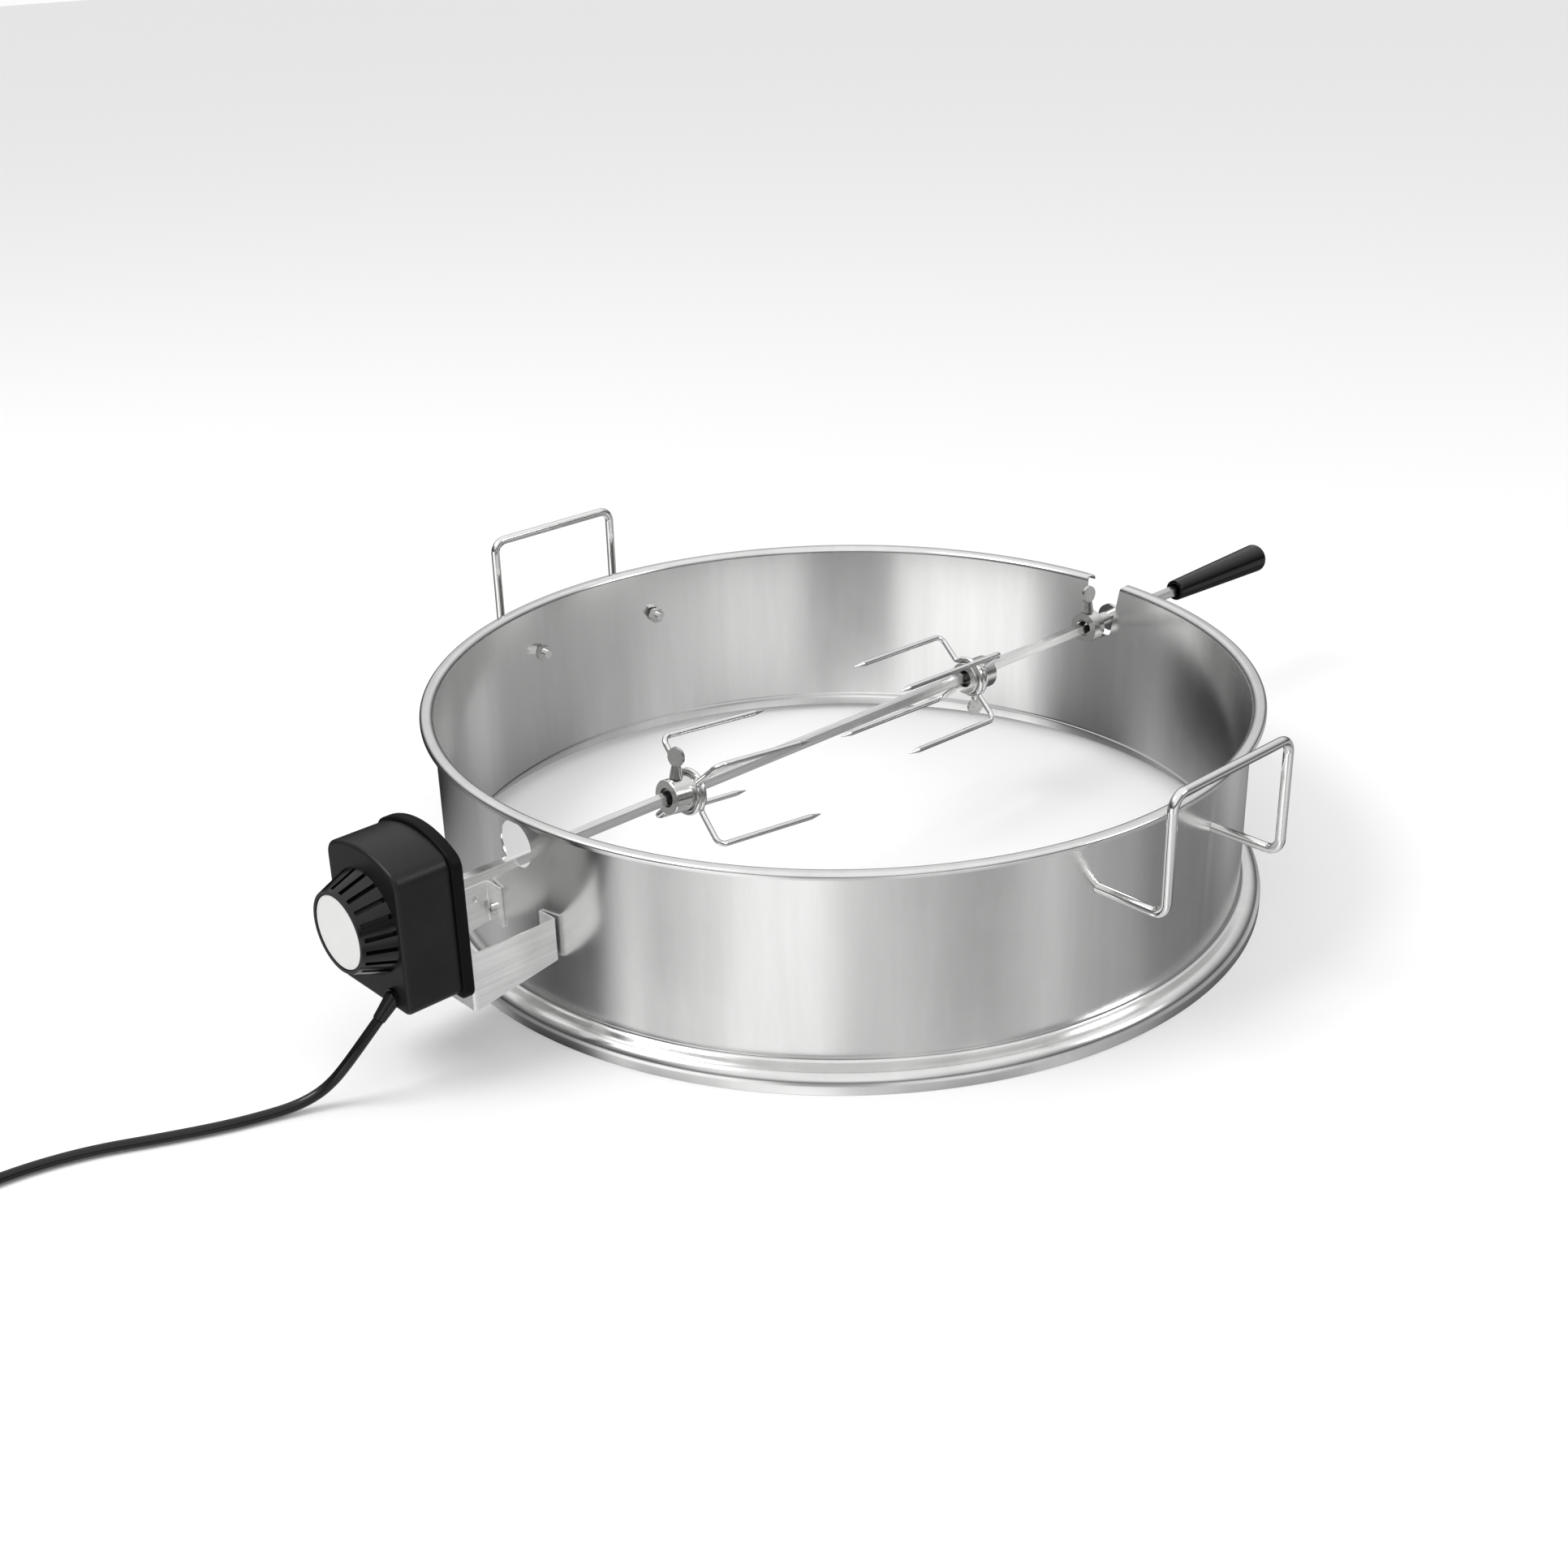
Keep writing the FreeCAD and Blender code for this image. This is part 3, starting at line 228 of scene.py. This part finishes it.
def make_world():
    """A bright overcast dome; below the horizon it has the soft bands that the steel mirrors."""
    world = bpy.data.worlds.new("studio")
    world.use_nodes = True
    scene.world = world
    scene.view_settings.view_transform = "Standard"
    net = Nodes(world.node_tree)
    direction = net.add("ShaderNodeTexCoord").outputs["Generated"]
    axes = net.add("ShaderNodeSeparateXYZ", {0: direction})
    around = net.math("ARCTAN2", axes.outputs["Y"], axes.outputs["X"])
    turn = net.math("FRACT", net.math("DIVIDE", around, 2 * math.pi))
    height = axes.outputs["Z"]
    depth = net.math("MULTIPLY", height, -1.0)

    shallow = by_azimuth(net, turn, SHALLOW_BANDS)
    steep = by_azimuth(net, turn, STEEP_BANDS)
    bands = net.mix(fade(net, depth, STEEP_FROM), shallow, steep)
    lower = net.mix(fade(net, depth, PLAIN_FROM), bands, grey(PLAIN_LEVEL))
    patches = net.mix(fade(net, height, HIGH_SKY_FROM), by_azimuth(net, turn, DOME_BANDS), grey(1))
    dome = net.mix(1.0, net.ramp(height, DOME_LEVELS, "B_SPLINE"), patches, "MULTIPLY")

    # A ramp only takes values from 0 to 1, so here the horizon is at 0.5
    raised = net.math("ADD", height, 0.5)
    above = fade(net, raised, (0.5 - HORIZON_HALF_WIDTH, 0.5 + HORIZON_HALF_WIDTH))
    seen = net.add("ShaderNodeLightPath").outputs["Is Camera Ray"]
    background = world.node_tree.nodes["Background"]
    net.feed(background, "Color", net.mix(seen, net.mix(above, lower, dome), grey(BACKDROP_LEVEL)))
    net.feed(background, "Strength", SKY_STRENGTH)


def make_lamps():
    for name, place, width, power in LAMPS:
        light = bpy.data.lights.new(name, "AREA")
        light.shape = "DISK"
        light.size = width
        light.energy = power
        lamp = bpy.data.objects.new(name, light)
        turn = (LAMP_TARGET - Vector(place)).to_track_quat("-Z", "Y").to_matrix().to_4x4()
        lamp.matrix_world = Matrix.Translation(place) @ turn
        scene.collection.objects.link(lamp)


def make_floor():
    """White paper. The steel doesn't mirror it: it mirrors the world's bands in its place."""
    signs = [(-1, -1), (1, -1), (1, 1), (-1, 1)]
    corners = [(FLOOR_REACH * x, FLOOR_REACH * y, -FLOOR_DROP) for x, y in signs]
    mesh = bpy.data.meshes.new("floor")
    mesh.from_pydata(corners, [], [(0, 1, 2, 3)])
    floor = bpy.data.objects.new("floor", mesh)
    scene.collection.objects.link(floor)
    paper, net, surface = new_material("floor_paper")
    net.feed(surface, "Base Color", grey(BACKDROP_LEVEL))
    net.feed(surface, "Roughness", 1.0)
    net.feed(surface, "Specular IOR Level", 0.0)
    mesh.materials.append(paper)
    floor.visible_glossy = False


# Sizes of the ring shell, as in the CAD

SHEET = 0.001
RING_RADIUS = 0.277
RING_HEIGHT = 0.1435
LIP_RADIUS = 0.2865
LIP_DROP = 0.004
FLANGE_RADIUS = 0.2925
FLANGE_HEIGHT = 0.0135
# Radii of the bends, on their outer side
FLANGE_BEND = 0.008
WALL_BEND = 0.004
LIP_BEND = 0.0025


# Materials

# Metals: name, colour, roughness, scale of the drawn lines, their stretch, contrast and share of metal
METALS = [
    ("bright_rod", (0.82, 0.82, 0.815), 0.13, 700.0, (0.05, 1, 1), 0.06, 1.0),
    ("turned_steel", (0.72, 0.72, 0.71), 0.17, 900.0, (1, 0.05, 0.05), 0.08, 1.0),
    ("plated_screws", (0.66, 0.66, 0.65), 0.20, 500.0, (1, 1, 1), 0.06, 1.0),
    ("sintered_bronze", (0.50, 0.34, 0.18), 0.45, 2500.0, (1, 1, 1), 0.25, 1.0),
    ("gear_steel", (0.55, 0.55, 0.56), 0.35, 900.0, (1, 0.1, 0.1), 0.12, 1.0),
    ("magnet_iron", (0.12, 0.12, 0.125), 0.55, 1800.0, (1, 1, 1), 0.3, 1.0),
    ("pin_brass", (0.75, 0.60, 0.32), 0.25, 800.0, (0.1, 1, 1), 0.15, 1.0),
    ("bar_steel", (0.80, 0.80, 0.795), 0.2, 500.0, (0.04, 1, 1), 0.22, 1.0),
    ("bracket_sheet", (0.88, 0.88, 0.875), 0.33, 420.0, (0.03, 1, 1), 0.16, 0.55),
]
# Plastics: name, colour, roughness, scale and depth of the grain, gloss coat, specular and unevenness
PLASTICS = [
    ("case_gloss", (0.004, 0.004, 0.004), 0.20, 1500.0, 1e-5, 0.25, 0.28, 0.3),
    ("case_matte", (0.010, 0.010, 0.010), 0.36, 1500.0, 1e-4, 0.0, 0.28, 0.3),
    ("blank_label", (0.82, 0.82, 0.81), 0.38, 700.0, 1e-5, 0.0, 0.45, 0.02),
    ("handle_gloss", (0.003, 0.003, 0.003), 0.14, 250.0, 1e-5, 0.3, 0.28, 0.3),
    ("gear_nylon", (0.80, 0.78, 0.70), 0.42, 900.0, 2e-5, 0.0, 0.45, 0.06),
    ("cord_rubber", (0.005, 0.005, 0.005), 0.22, 1200.0, 1e-5, 0.3, 0.28, 0.3),
    ("plate_black", (0.003, 0.003, 0.003), 0.5, 1200.0, 5e-5, 0.0, 0.12, 0.3),
]
# Nodes that look a little different from the others of their slot
OWN_MATERIALS = {
    "motor_front_plate": "plate_black",
    "spit_rod": "bar_steel",
    "motor_bracket": "bracket_sheet",
}
# Patches in the roughness, as shares of it
METAL_PATCHES = (0.85, 1.15)
PLASTIC_PATCHES = (0.85, 1.2)
COAT_ROUGHNESS = 0.08
# Brushed sheet: its colour and how that is shaded by upright streaks (partly the brushing's own tone,
# partly painted reflection bands) and clouds, its roughness, and its paler or darker marks
SHEET_COLOUR = (0.76, 0.76, 0.755)
SHEET_SHADES = (0.90, 1.07)
SHEET_ROUGHNESS = (0.18, 0.23)
CLOUD_SHARE = 0.4
SPECK_SHARE = 0.07
SPECK_LEVEL = 0.45
STREAK_AND_REFLECTION_STRETCH = 0.12
GRAIN_STRETCH = 0.02
# Winding: a painted shade for the grooves between the turns, and the wire's own colour on them
ENAMEL_GROOVE_SHADE = (0.12, 0.035, 0.01)
BRIGHT_ENAMEL = (0.62, 0.24, 0.08)


def object_place(net, scale=(1, 1, 1)):
    """Object coordinates in metres, stretched by a scale."""
    place = net.add("ShaderNodeTexCoord").outputs["Object"]
    return net.add("ShaderNodeMapping", {"Vector": place, "Scale": scale}).outputs[0]


def joined(net, x, y, z):
    return net.add("ShaderNodeCombineXYZ", {0: x, 1: y, 2: z}).outputs[0]


def noise(net, place, scale, detail, roughness):
    inputs = {"Vector": place, "Scale": scale, "Detail": detail, "Roughness": roughness}
    return net.add("ShaderNodeTexNoise", inputs).outputs["Fac"]


def blend(net, first, second, share):
    """Two noises added, with the given share of the second."""
    return net.math("ADD", net.math("MULTIPLY", first, 1 - share), net.math("MULTIPLY", second, share))


def spread(net, value, low, high):
    """Turns a 0.3 to 0.7 noise into a value between low and high."""
    inputs = {"Value": value, "From Min": 0.3, "From Max": 0.7, "To Min": low, "To Max": high}
    return net.add("ShaderNodeMapRange", inputs).outputs[0]


def shaded(net, colour, value, low, high):
    """A colour made darker or lighter by a noise."""
    factor = spread(net, value, low, high)
    tint = net.add("ShaderNodeCombineColor", {0: factor, 1: factor, 2: factor}).outputs[0]
    return net.mix(1.0, (*colour, 1), tint, "MULTIPLY")


def bump(net, surface, value, strength, distance):
    inputs = {"Height": value, "Strength": strength, "Distance": distance}
    net.feed(surface, "Normal", net.add("ShaderNodeBump", inputs).outputs[0])


def round_place(net):
    """Coordinates round the ring: metres along its wall, height, and distance from its axis."""
    place = net.add("ShaderNodeTexCoord").outputs["Object"]
    x, y, z = net.add("ShaderNodeSeparateXYZ", {0: place}).outputs
    along = net.math("MULTIPLY", net.math("ARCTAN2", y, x), RING_RADIUS)
    squares = net.math("ADD", net.math("MULTIPLY", x, x), net.math("MULTIPLY", y, y))
    return along, z, net.math("SQRT", squares)


def brushed_sheet():
    """Sheet steel brushed along its length, so that reflections are drawn out upright. Its colour has
    upright streaks that are partly the brushing's own tone and partly painted reflection bands.
    """
    material, net, surface = new_material("brushed_sheet")
    along, height, radius = round_place(net)
    # Upright streaks round the wall in the colour: partly the brushing's own tone, partly painted
    # reflection bands
    upright = joined(net, along, net.math("MULTIPLY", height, STREAK_AND_REFLECTION_STRETCH), radius)
    level = joined(net, net.math("MULTIPLY", along, GRAIN_STRETCH), height, radius)
    streaks_and_painted_reflections = noise(net, upright, scale=38.0, detail=4.0, roughness=0.6)
    grain = noise(net, level, scale=2600.0, detail=2.0, roughness=0.5)
    clouds = noise(net, object_place(net), scale=9.0, detail=4.0, roughness=0.6)
    specks = noise(net, object_place(net), scale=900.0, detail=2.0, roughness=0.6)
    steel = shaded(net, SHEET_COLOUR, blend(net, streaks_and_painted_reflections, clouds, CLOUD_SHARE), *SHEET_SHADES)
    speckled = net.mix(spread(net, specks, 0.0, SPECK_SHARE), steel, grey(SPECK_LEVEL))
    net.feed(surface, "Base Color", speckled)
    net.feed(surface, "Metallic", 1.0)
    net.feed(surface, "Roughness", spread(net, clouds, *SHEET_ROUGHNESS))
    net.feed(surface, "Anisotropic", 0.4)
    net.feed(surface, "Anisotropic Rotation", 0.25)
    tangent = net.add("ShaderNodeTangent", direction_type="RADIAL", axis="Z")
    net.feed(surface, "Tangent", tangent.outputs[0])
    bump(net, surface, grain, strength=0.12, distance=2e-5)
    return material


def drawn_steel(name, colour, roughness, scale, stretch, contrast, metallic):
    """Bright metal with fine lines along one axis: its stretch is small along that axis."""
    material, net, surface = new_material(name)
    lines = noise(net, object_place(net, stretch), scale, detail=4.0, roughness=0.6)
    spots = noise(net, object_place(net), scale=90.0, detail=3.0, roughness=0.6)
    marks = blend(net, lines, spots, 0.2)
    net.feed(surface, "Base Color", shaded(net, colour, marks, 1 - contrast, 1 + contrast / 2))
    net.feed(surface, "Metallic", metallic)
    net.feed(surface, "Roughness", spread(net, spots, *(roughness * share for share in METAL_PATCHES)))
    bump(net, surface, lines, strength=0.08, distance=1e-5)
    return material


def moulded(name, colour, roughness, grain_scale, grain_depth, coat, specular, uneven):
    """Moulded plastic or rubber: a fine grain, and patches that differ a little in colour and gloss."""
    material, net, surface = new_material(name)
    grain = noise(net, object_place(net), grain_scale, detail=2.0, roughness=0.5)
    patches = noise(net, object_place(net), scale=22.0, detail=4.0, roughness=0.6)
    net.feed(surface, "Base Color", shaded(net, colour, patches, 1 - uneven, 1 + uneven))
    net.feed(surface, "Roughness", spread(net, patches, *(roughness * share for share in PLASTIC_PATCHES)))
    net.feed(surface, "Specular IOR Level", specular)
    net.feed(surface, "Coat Weight", coat)
    net.feed(surface, "Coat Roughness", COAT_ROUGHNESS)
    bump(net, surface, grain, strength=0.5, distance=grain_depth)
    return material


def wound_copper():
    """Enamelled wire in close turns round the motor's axis, its colour darkened by painted shade in the
    grooves between the turns.
    """
    material, net, surface = new_material("winding")
    inputs = {"Vector": object_place(net), "Scale": 520.0, "Distortion": 1.5, "Detail": 2.0}
    turns = net.add("ShaderNodeTexWave", inputs, bands_direction="X").outputs["Fac"]
    # Painted shade: dark in the grooves between the turns, the wire's colour on the turns
    net.feed(surface, "Base Color", net.ramp(turns, [(0.0, ENAMEL_GROOVE_SHADE), (0.6, BRIGHT_ENAMEL)]))
    net.feed(surface, "Metallic", 0.8)
    net.feed(surface, "Roughness", 0.35)
    bump(net, surface, turns, strength=0.6, distance=2e-4)
    return material


def paint_nodes():
    """Gives each CAD node the material of its slot, or its own, and returns all the materials."""
    materials = {"brushed_sheet": brushed_sheet(), "winding": wound_copper()}
    for row in METALS:
        materials[row[0]] = drawn_steel(*row)
    for row in PLASTICS:
        materials[row[0]] = moulded(*row)
    for subpart in frame["record"]["subparts"]:
        name = subpart["node"]
        looks = nodes[name].data.materials
        looks.clear()
        looks.append(materials[OWN_MATERIALS.get(name, subpart["material_slot"])])
    return materials


# Mains cord

CORD_RADIUS = 0.0033
# Steps round a quarter of the cord, and along it between two control points
CORD_ROUND_STEPS = 6
CORD_LONG_STEPS = 6
CORD_ROUTE = [
    (-0.3963, -0.0197, 0.0537),
    (-0.4058, -0.0166, 0.0424),
    (-0.4140, -0.0119, 0.0304),
    (-0.4212, -0.0063, 0.0190),
    (-0.4302, -0.0009, 0.0100),
    (-0.4438, 0.0046, 0.0048),
    (-0.4610, 0.0106, 0.0035),
    (-0.4840, 0.0185, 0.0035),
    (-0.5150, 0.0330, 0.0035),
    (-0.5500, 0.0510, 0.0035),
    (-0.5870, 0.0615, 0.0035),
    (-0.6220, 0.0640, 0.0035),
    (-0.6490, 0.0600, 0.0035),
]
TAIL_ROUTE = [
    (-0.7085, 0.1035, 0.0101),
    (-0.7095, 0.1220, 0.0101),
    (-0.7065, 0.1420, 0.0080),
    (-0.6990, 0.1600, 0.0062),
    (-0.6860, 0.1745, 0.0068),
    (-0.6695, 0.1830, 0.0096),
    (-0.6520, 0.1866, 0.0132),
]
COIL_CENTRE = Vector((-0.662, 0.1067, 0.0))
COIL_TRACKS = (0.0333, 0.0400, 0.0467)
COIL_LAYERS = (0.0035, 0.0101)
COIL_TURNS = 5.19
COIL_START = math.radians(-90)
POINTS_PER_TURN = 16
# Share of a turn in which the cord moves over to its next track
TRACK_CHANGE = 0.18


def eased(share):
    return share * share * (3 - 2 * share)


def coil_points():
    """The coil: three turns wound inwards on the floor, then outwards again on top of them."""
    inner, middle, outer = COIL_TRACKS
    low, high = COIL_LAYERS
    laps = [(outer, low), (middle, low), (inner, low), (inner, high), (middle, high), (outer, high)]
    # A spline of order 3 runs a little inside its control points, so they are put further out
    bulge = 1 / (0.75 + 0.25 * math.cos(2 * math.pi / POINTS_PER_TURN))
    points = []
    for i in range(int(COIL_TURNS * POINTS_PER_TURN) + 1):
        turns = i / POINTS_PER_TURN
        lap = int(turns)
        change = eased(max(0.0, (turns - lap - 1 + TRACK_CHANGE) / TRACK_CHANGE))
        radius, height = laps[lap]
        next_radius, next_height = laps[min(lap + 1, len(laps) - 1)]
        radius += (next_radius - radius) * change
        height += (next_height - height) * change
        angle = COIL_START - 2 * math.pi * turns
        out = Vector((math.cos(angle), math.sin(angle), 0)) * radius * bulge
        points.append(COIL_CENTRE + out + Vector((0, 0, height)))
    return points


def make_cord(materials):
    curve = bpy.data.curves.new("mains_cord", "CURVE")
    curve.dimensions = "3D"
    curve.bevel_depth = CORD_RADIUS
    curve.bevel_resolution = CORD_ROUND_STEPS
    curve.use_fill_caps = True
    curve.materials.append(materials["cord_rubber"])
    spline = curve.splines.new("NURBS")
    points = [Vector(p) for p in CORD_ROUTE] + coil_points() + [Vector(p) for p in TAIL_ROUTE]
    spline.points.add(len(points) - 1)
    for control, point in zip(spline.points, points):
        control.co = (*point, 1)
    spline.order_u = 3
    spline.use_endpoint_u = True
    spline.resolution_u = CORD_LONG_STEPS
    cord = bpy.data.objects.new("mains_cord", curve)
    scene.collection.objects.link(cord)
    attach(cord, "ring")
    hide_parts("power_cord", "power_cord_tail", "power_cord_coil")


# Turned and cut pieces

SHARP_ANGLE = math.radians(35)
CORNER_STEPS = 8
HOLE_STEPS = 64


def rounded(corners):
    """A closed outline: each corner (u, v, radius) is rounded by an arc, or left sharp at radius 0."""
    points = []
    for i, (u, v, radius) in enumerate(corners):
        corner = Vector((u, v))
        before = (Vector(corners[i - 1][:2]) - corner).normalized()
        after = (Vector(corners[(i + 1) % len(corners)][:2]) - corner).normalized()
        if radius == 0:
            points.append(corner)
            continue
        half = before.angle(after) / 2
        reach = radius / math.tan(half)
        centre = corner + (before + after).normalized() * radius / math.sin(half)
        start = corner + before * reach - centre
        end = corner + after * reach - centre
        for step in range(CORNER_STEPS + 1):
            points.append(centre + start.lerp(end, step / CORNER_STEPS).normalized() * radius)
    return points


def link_mesh(name, points, faces, material=None):
    """A new object with outward faces, smooth but for its sharp edges."""
    mesh = bpy.data.meshes.new(name)
    mesh.from_pydata(points, [], faces)
    shape = bmesh.new()
    shape.from_mesh(mesh)
    bmesh.ops.recalc_face_normals(shape, faces=shape.faces)
    shape.to_mesh(mesh)
    shape.free()
    if material:
        mesh.materials.append(material)
    mesh.shade_smooth()
    mesh.set_sharp_from_angle(angle=SHARP_ANGLE)
    piece = bpy.data.objects.new(name, mesh)
    scene.collection.objects.link(piece)
    return piece


def lathe(name, profile, material, place, steps):
    """A closed profile of (along, radius) points turned round.

    The place function gives the point for a distance along the axis, a radius and an angle.
    """
    count = len(profile)
    points = []
    faces = []
    for i in range(steps):
        angle = 2 * math.pi * i / steps
        points += [place(along, radius, angle) for along, radius in profile]
        here, after = i * count, (i + 1) % steps * count
        for j in range(count):
            k = (j + 1) % count
            faces.append((here + j, here + k, after + k, after + j))
    return link_mesh(name, points, faces, material)


def cutter(outline, axis, low, high):
    """A prism along X or Y, from a closed outline across it."""
    count = len(outline)
    points = []
    for along in (low, high):
        for u, v in outline:
            points.append((along, u, v) if axis == "X" else (u, along, v))
    faces = [tuple(range(count)), tuple(range(count, 2 * count))]
    for i in range(count):
        k = (i + 1) % count
        faces.append((i, k, count + k, count + i))
    return link_mesh("cutter", points, faces)


def circle(u, v, radius):
    turns = [2 * math.pi * i / HOLE_STEPS for i in range(HOLE_STEPS)]
    return [(u + radius * math.cos(turn), v + radius * math.sin(turn)) for turn in turns]


def cut_away(piece, cutters):
    """Takes the cutters out of the piece and leaves its final mesh."""
    for tool in cutters:
        modifier = piece.modifiers.new("cut", "BOOLEAN")
        modifier.operation = "DIFFERENCE"
        modifier.solver = "EXACT"
        modifier.object = tool
    ready = piece.evaluated_get(bpy.context.evaluated_depsgraph_get())
    mesh = bpy.data.meshes.new_from_object(ready)
    piece.modifiers.clear()
    piece.data = mesh
    mesh.shade_smooth()
    mesh.set_sharp_from_angle(angle=SHARP_ANGLE)
    for tool in cutters:
        bpy.data.objects.remove(tool)


# Ring shell: the CAD ring's own outline and holes, turned finely so that its rolled edges are smooth

RING_STEPS = 720
# How far from the axis the cutters begin and end, on either side of the wall
CUT_FROM = 0.2
CUT_TO = 0.32
# Holes: place across the wall, height and radius
SPIT_HOLE = (0, 0.1176, 0.0155)
BRACKET_HOLE = (0.029, 0.062, 0.0023)
HANDLE_HOLE = (0.056, 0.105, 0.003275)
# Notch: its floor, its upright side, its slanted side at the floor and at the rim, and its corners
NOTCH_FLOOR = 0.1007
NOTCH_UPRIGHT = 0.0078
NOTCH_SLANT_FOOT = -0.0160
NOTCH_SLANT_TOP = -0.0246
NOTCH_MARGIN = 0.005
NOTCH_CORNER = 0.004
NOTCH_UPRIGHT_CORNER = 0.0063
# Heights over the rim at which the notch's sides end and its cutter ends
RIM_GAP = 0.0003
CUT_ABOVE = 0.002


def ring_outline():
    """The ring's section as (radius, height) points, from the flange's foot up to the lip and back."""
    under_lip = RING_HEIGHT - SHEET
    outer = RING_RADIUS + SHEET
    lip_edge = LIP_RADIUS - SHEET
    lip_foot = RING_HEIGHT - LIP_DROP
    flange_edge = FLANGE_RADIUS - SHEET
    under_flange = FLANGE_HEIGHT - SHEET
    return rounded([
        (FLANGE_RADIUS, 0, 0),
        (FLANGE_RADIUS, FLANGE_HEIGHT, FLANGE_BEND),
        (outer, FLANGE_HEIGHT, WALL_BEND - SHEET),
        (outer, under_lip, WALL_BEND - SHEET),
        (lip_edge, under_lip, LIP_BEND - SHEET),
        (lip_edge, lip_foot, 0),
        (LIP_RADIUS, lip_foot, 0),
        (LIP_RADIUS, RING_HEIGHT, LIP_BEND),
        (RING_RADIUS, RING_HEIGHT, WALL_BEND),
        (RING_RADIUS, under_flange, WALL_BEND),
        (flange_edge, under_flange, FLANGE_BEND - SHEET),
        (flange_edge, 0, 0),
    ])


def notch_outline():
    """The open notch as (place across the wall, height) points. It widens to a slot above the rim."""
    rim = RING_HEIGHT + RIM_GAP
    above = RING_HEIGHT + CUT_ABOVE
    left = NOTCH_UPRIGHT + NOTCH_MARGIN
    right = NOTCH_SLANT_TOP - NOTCH_MARGIN
    return rounded([
        (left, above, 0),
        (right, above, 0),
        (right, rim, 0),
        (NOTCH_SLANT_TOP, rim, NOTCH_CORNER),
        (NOTCH_SLANT_FOOT, NOTCH_FLOOR, NOTCH_CORNER),
        (NOTCH_UPRIGHT, NOTCH_FLOOR, NOTCH_UPRIGHT_CORNER),
        (NOTCH_UPRIGHT, rim, NOTCH_CORNER),
        (left, rim, 0),
    ])


def round_z(height, radius, angle):
    return (radius * math.cos(angle), radius * math.sin(angle), height)


def make_ring_shell(materials):
    profile = [(height, radius) for radius, height in ring_outline()]
    shell = lathe("ring_shell_sheet", profile, materials["brushed_sheet"], round_z, RING_STEPS)
    cutters = [
        cutter(notch_outline(), "X", CUT_FROM, CUT_TO),
        cutter(circle(*SPIT_HOLE), "X", -CUT_TO, -CUT_FROM),
    ]
    for side in (-1, 1):
        across, height, radius = BRACKET_HOLE
        cutters.append(cutter(circle(side * across, height, radius), "X", -CUT_TO, -CUT_FROM))
        across, height, radius = HANDLE_HOLE
        cutters.append(cutter(circle(side * across, height, radius), "Y", -CUT_TO, CUT_TO))
    cut_away(shell, cutters)
    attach(shell, "ring")
    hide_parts("ring_shell")


# Dark sleeve behind the motor's vents: painted shade for the inside of the case

SHADE_SLEEVE_SHEET = 0.0008
SHADE_SLEEVE_STEPS = 96
# How far inside the vent cap's box the dark shade sleeve stays, at its wide back and its narrow front
SHADE_SLEEVE_WIDE_INSET = 0.0036
SHADE_SLEEVE_NARROW_INSET = 0.0106
SHADE_SLEEVE_FRONT_INSET = 0.0026
SHADE_SLEEVE_BACK_INSET = 0.0004


def make_vent_shade_sleeve(materials):
    """A thin dark sleeve just inside the vent cap's ribs: painted shade that stands in for the dark inside
    of the case, so the motor behind stays out of sight.
    """
    low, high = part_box("motor_vent_cap")
    middle = (low[2] + high[2]) / 2
    cap_radius = (high[2] - low[2]) / 2
    wide = cap_radius - SHADE_SLEEVE_WIDE_INSET
    narrow = cap_radius - SHADE_SLEEVE_NARROW_INSET
    front = low[0] + SHADE_SLEEVE_FRONT_INSET
    back = high[0] - SHADE_SLEEVE_BACK_INSET
    profile = [(front, narrow), (back, wide), (back, wide - SHADE_SLEEVE_SHEET), (front, narrow - SHADE_SLEEVE_SHEET)]

    def round_x(along, radius, angle):
        return (along, radius * math.cos(angle), middle + radius * math.sin(angle))

    # Painted shade: a dark sheet where the inside of the case has only shade
    shade_sleeve = lathe("vent_shade_sleeve", profile, materials["case_matte"], round_x, SHADE_SLEEVE_STEPS)
    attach(shade_sleeve, "ring")


make_camera()
make_world()
make_lamps()
make_floor()
materials = paint_nodes()
make_cord(materials)
make_ring_shell(materials)
make_vent_shade_sleeve(materials)
